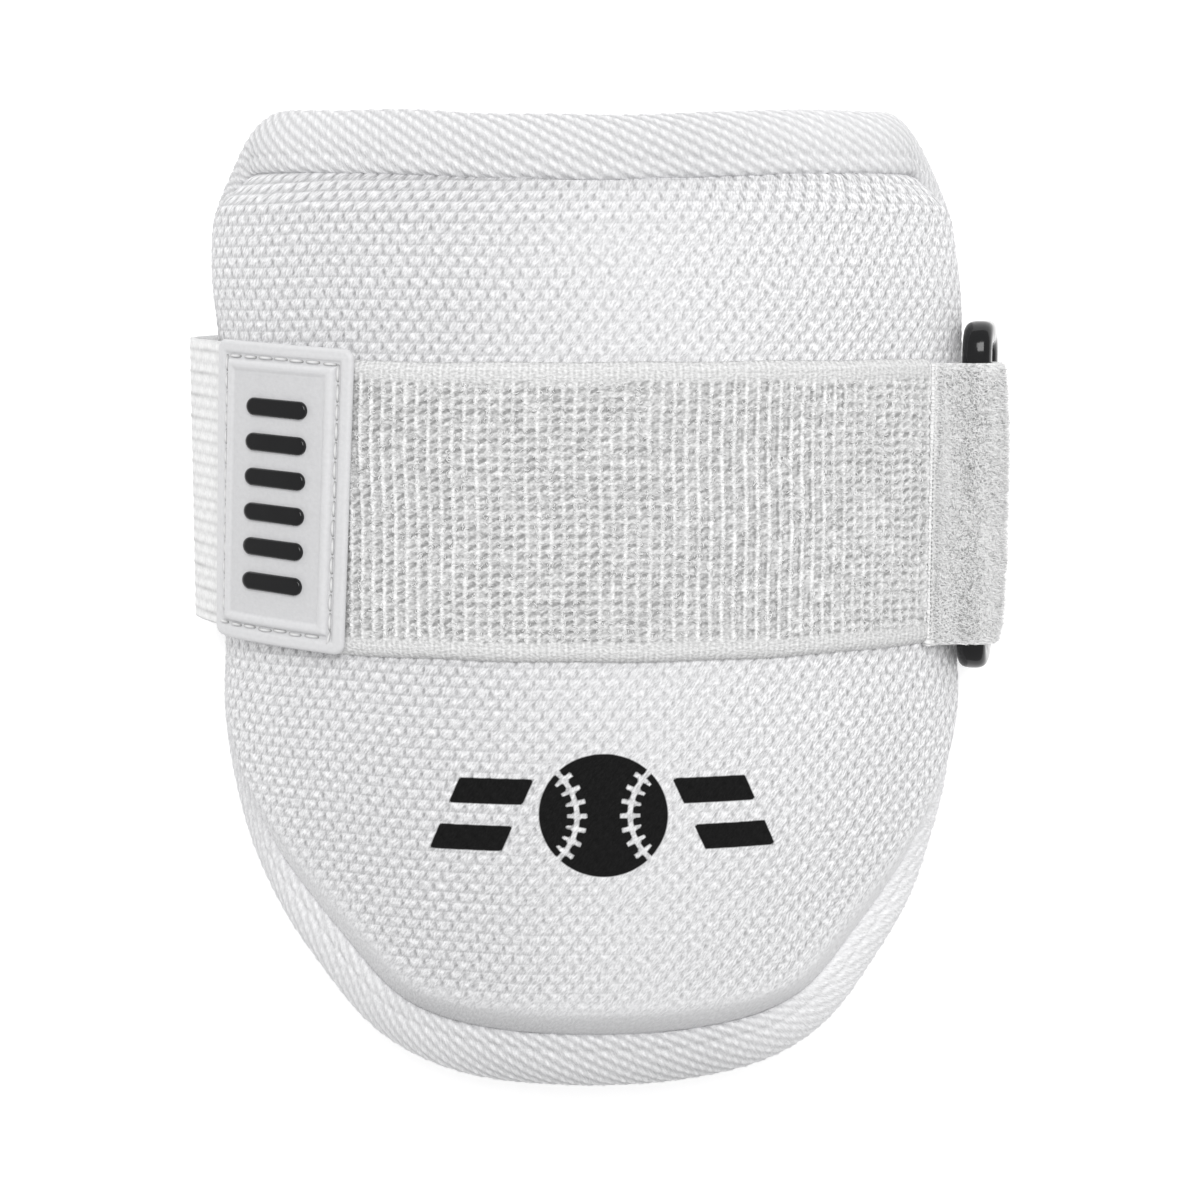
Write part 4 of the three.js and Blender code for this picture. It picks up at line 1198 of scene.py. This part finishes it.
def rounded_rings(inset, along_side=(60, 110), in_corner=12):
    """Rings round the patch at insets from its edge, counter-clockwise: four corner arcs, whose radius falls
    by the inset, and points set evenly on the straight sides between them."""
    inset = np.asarray(inset, float)[:, None]
    corner = np.maximum(PATCH_CORNER - inset, LEAST_CORNER)
    arcs = []
    for right, up, start in ((1, -1, -90), (1, 1, 0), (-1, 1, 90), (-1, -1, 180)):
        turn = np.radians(np.linspace(start, start + 90, in_corner))
        x = right * (PATCH_WIDTH / 2 - inset - corner) + corner * np.cos(turn)
        y = up * (PATCH_HEIGHT / 2 - inset - corner) + corner * np.sin(turn)
        arcs.append(points_of(x, y))
    ring = []
    for number, arc_points in enumerate(arcs):
        share = np.linspace(0, 1, along_side[1 - number % 2] + 2)[1:-1, None]
        following = arcs[(number + 1) % 4]
        ring += [arc_points, arc_points[:, -1:] * (1 - share) + following[:, :1] * share]
    return np.concatenate(ring, axis=1)


def on_patch(x, y, level):
    """A point of the patch's own flat plan, turned, wrapped on the band and raised."""
    reach = PATCH_REACH + x * np.cos(PATCH_TURN) - y * np.sin(PATCH_TURN)
    along = PATCH_ALONG + x * np.sin(PATCH_TURN) + y * np.cos(PATCH_TURN)
    return on_face(reach, along, PATCH_UNDERSIDE + level)


top_inset = np.arange(0, FIELD_INSET + 0.2, 0.13)
field_shrink = np.linspace(0.9, 0, 10)
patch_inset = np.concatenate([PATCH_UNDER[:, 0], top_inset, np.full(len(field_shrink), top_inset[-1])])
patch_shrink = np.concatenate([PATCH_UNDER[:, 1], np.ones(len(top_inset)), field_shrink])
patch_level = np.interp(patch_inset, *PATCH_LEVELS.T)
patch_level[: len(PATCH_UNDER)] = PATCH_UNDER[:, 2]
patch_plan = rounded_rings(patch_inset) * patch_shrink[:, None, None]
patch_points = on_patch(patch_plan[..., 0], patch_plan[..., 1], patch_level[:, None])
# The field is a darker grey than the frame, and the stitch groove is darkened to the same grey as painted
# shade.
field_tone_and_groove_shade = ramp(patch_inset, FIELD_INSET - 0.4, FIELD_INSET) + 1.2 * hump(patch_inset, STITCH_INSET, 0.4)
field_tone_and_groove_shade = np.broadcast_to(field_tone_and_groove_shade[:, None], patch_points.shape[:2])
patch_flat = closed(patch_plan)
patch_mesh = mesh_of("tab_patch_rubber", *grid(patch_points, patch_flat, joined=True), relief=field_tone_and_groove_shade)
close_poles(patch_mesh)
patch_finish, tree, shader = new_finish("matt_rubber")
grain = noise(tree, add_node(tree, "ShaderNodeTexCoord").outputs["Object"], 1400.0, 3.0)
grain_bump = add_node(tree, "ShaderNodeBump", {"Height": grain, "Distance": 0.05 * MM})
rubber = mixed(tree, share_of(tree, "relief"), (0.68, 0.68, 0.69, 1), (0.62, 0.62, 0.63, 1))
feed(tree, shader, {
    "Base Color": toned(tree, rubber, spread(tree, grain, 0.0, 1.0, 0.92, 1.08)),
    "Roughness": spread(tree, grain, 0.0, 1.0, 0.45, 0.62),
    "Normal": grain_bump.outputs["Normal"],
})
patch = add_piece("patch_rubber", patch_mesh, patch_finish)
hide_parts("tab_patch")


# The patch is sewn down with thick white thread, in a row of stitches in the groove inside its flange.
# Each stitch is a low arch of twisted thread, with painted shade at its ends where the needle pulled it
# through the rubber.
STITCH_LENGTH, STITCH_GAP, STITCH_THREAD = 2.5, 0.75, 0.21
stitch_half = np.array([PATCH_WIDTH / 2 - STITCH_INSET, PATCH_HEIGHT / 2 - STITCH_INSET])
stitch_loop = np.array([(-1, -1), (1, -1), (1, 1), (-1, 1), (-1, -1)]) * stitch_half
stitch_total = round(4 * stitch_half.sum() / (STITCH_LENGTH + STITCH_GAP))
stitch_sides = [np.linspace(a, b, 400) for a, b in zip(stitch_loop[:-1], stitch_loop[1:])]
stitch_ends = evenly(np.concatenate(stitch_sides), 2 * stitch_total, joined=True)[0]
stitch_way = unit(stitch_ends[1::2] - stitch_ends[::2])
draw = np.random.default_rng(61)
stitch_middle = stitch_ends[::2] + draw.normal(0, 0.06, stitch_way.shape)
stitch_base = on_patch(*stitch_middle.T, GROOVE_LEVEL)
stitch_mesh = mesh_of("patch_stitches", *arches(
    stitch_base,
    unit(on_patch(*(stitch_middle + 0.2 * stitch_way).T, GROOVE_LEVEL) - stitch_base),
    on_patch(*stitch_middle.T, GROOVE_LEVEL + 1) - stitch_base,
    span=draw.uniform(STITCH_LENGTH - 0.2, STITCH_LENGTH + 0.2, stitch_total),
    height=draw.uniform(0.22, 0.34, stitch_total),
    radius=np.full(stitch_total, STITCH_THREAD),
    lean=draw.normal(0, 0.05, stitch_total),
    segments=10,
    sides=8,
))
stitch_finish = cloth_finish("sewing_thread", top=(0.76, 0.76, 0.76), hollow=(0.16, 0.16, 0.16), share=0.0)
add_piece("patch_stitches", stitch_mesh, stitch_finish)


# Grip bars of black rubber are moulded on the patch's field, so that fingers hold it when they pull.
# Each is a low pill with a rounded top, in the ring's gloss black.
GRIP_TOTAL, GRIP_PITCH = 6, 6.1
GRIP_LENGTH, GRIP_WIDTH = 12.4, 3.1
# Rows from a grip's foot to the middle of its top: the share of its half width, and its level on the field.
GRIP_ROWS = np.array([
    (1.0, -0.2), (1.0, 0.4), (0.96, 0.6), (0.86, 0.71), (0.7, 0.75), (0.35, 0.75), (0.0, 0.75),
])
grip_turn = np.linspace(0, 2 * np.pi, 48, endpoint=False)
grip_edge = GRIP_WIDTH / 2 * points_of(np.cos(grip_turn), np.sin(grip_turn))
grip_core = points_of(np.sign(np.cos(grip_turn) + 1e-9) * (GRIP_LENGTH - GRIP_WIDTH) / 2, 0.0)
grip_share = GRIP_ROWS[:, :1, None]
grip_plan = grip_core[None] * (grip_share > 0) + grip_edge[None] * grip_share
grip_level = np.broadcast_to(FIELD_LEVEL + GRIP_ROWS[:, 1:], grip_plan.shape[:2])
grip_ups = (np.arange(GRIP_TOTAL) - (GRIP_TOTAL - 1) / 2) * GRIP_PITCH
grip_parts = [
    grid(on_patch(grip_plan[..., 0], grip_plan[..., 1] + up, grip_level), closed(grip_plan), joined=True)
    for up in grip_ups
]
grip_mesh = mesh_of(
    "grip_bars",
    np.concatenate([points for points, _, _ in grip_parts]),
    np.concatenate([faces + number * len(points) for number, (points, faces, _) in enumerate(grip_parts)]),
    np.concatenate([places for _, _, places in grip_parts]),
)
close_poles(grip_mesh)
add_piece("grip_bars", grip_mesh, ring_finish)


# The studio is a pale floor under one broad soft lamp, in an even white surround.
# The camera looks nearly straight down on the guard's front, from about 0.4 m.
FLOOR_HALF, FLOOR_DROP = 3000, 0.4
LAMP_PLACE, LAMP_AIM = np.array([0.0, 0.5, 1.2]), np.array([0, 0, 0.03])
LAMP_SIZE, LAMP_POWER = 0.7, 10.5
SURROUND = 0.575
CAMERA_YAW, CAMERA_PITCH = np.radians(2.0), np.radians(7.5)
CAMERA_DISTANCE = 0.42
CAMERA_TARGET = np.array([0.0, -0.0148, 0.053])
FOCAL_PIXELS, FRAME_PIXELS, SENSOR = 2478, 1200, 36.0
scene = bpy.context.scene
floor_side = np.linspace(-FLOOR_HALF, FLOOR_HALF, 3)
floor_points = points_of(*np.meshgrid(floor_side, floor_side), -FLOOR_DROP)
floor_mesh = mesh_of("floor", *grid(floor_points, np.zeros((3, 3, 2))))
floor_finish, tree, shader = new_finish("pale_floor")
feed(tree, shader, {
    "Base Color": (0.95, 0.95, 0.95, 1),
    "Roughness": 0.9,
    "Specular IOR Level": 0.0,
    "Emission Color": (1, 1, 1, 1),
    "Emission Strength": 0.3,
})
floor_mesh.materials.append(floor_finish)
floor = bpy.data.objects.new("floor", floor_mesh)
scene.collection.objects.link(floor)

key = bpy.data.lights.new("key", "AREA")
key.size = LAMP_SIZE
key.energy = LAMP_POWER
lamp = bpy.data.objects.new("key", key)
lamp.location = LAMP_PLACE
lamp.rotation_euler = Vector(LAMP_AIM - LAMP_PLACE).to_track_quat("-Z", "Y").to_euler()
scene.collection.objects.link(lamp)
world = bpy.data.worlds.new("studio")
world.use_nodes = True
feed(world.node_tree, world.node_tree.nodes["Background"], {"Color": (1, 1, 1, 1), "Strength": SURROUND})
scene.world = world
scene.view_settings.view_transform = "Standard"

camera_way = np.array([
    -np.sin(CAMERA_YAW) * np.cos(CAMERA_PITCH),
    np.sin(CAMERA_PITCH),
    np.cos(CAMERA_YAW) * np.cos(CAMERA_PITCH),
])
camera_right = unit(np.cross((0, 1, 0), camera_way))
camera_up = np.cross(camera_way, camera_right)
camera_data = bpy.data.cameras.new("camera")
camera_data.sensor_fit = "HORIZONTAL"
camera_data.sensor_width = SENSOR
camera_data.lens = FOCAL_PIXELS / FRAME_PIXELS * SENSOR
camera = bpy.data.objects.new("camera", camera_data)
pose = np.eye(4)
pose[:3, :3] = np.stack([camera_right, camera_up, camera_way], axis=1)
pose[:3, 3] = CAMERA_TARGET + camera_way * CAMERA_DISTANCE
camera.matrix_world = Matrix(pose.tolist())
scene.collection.objects.link(camera)
scene.camera = camera
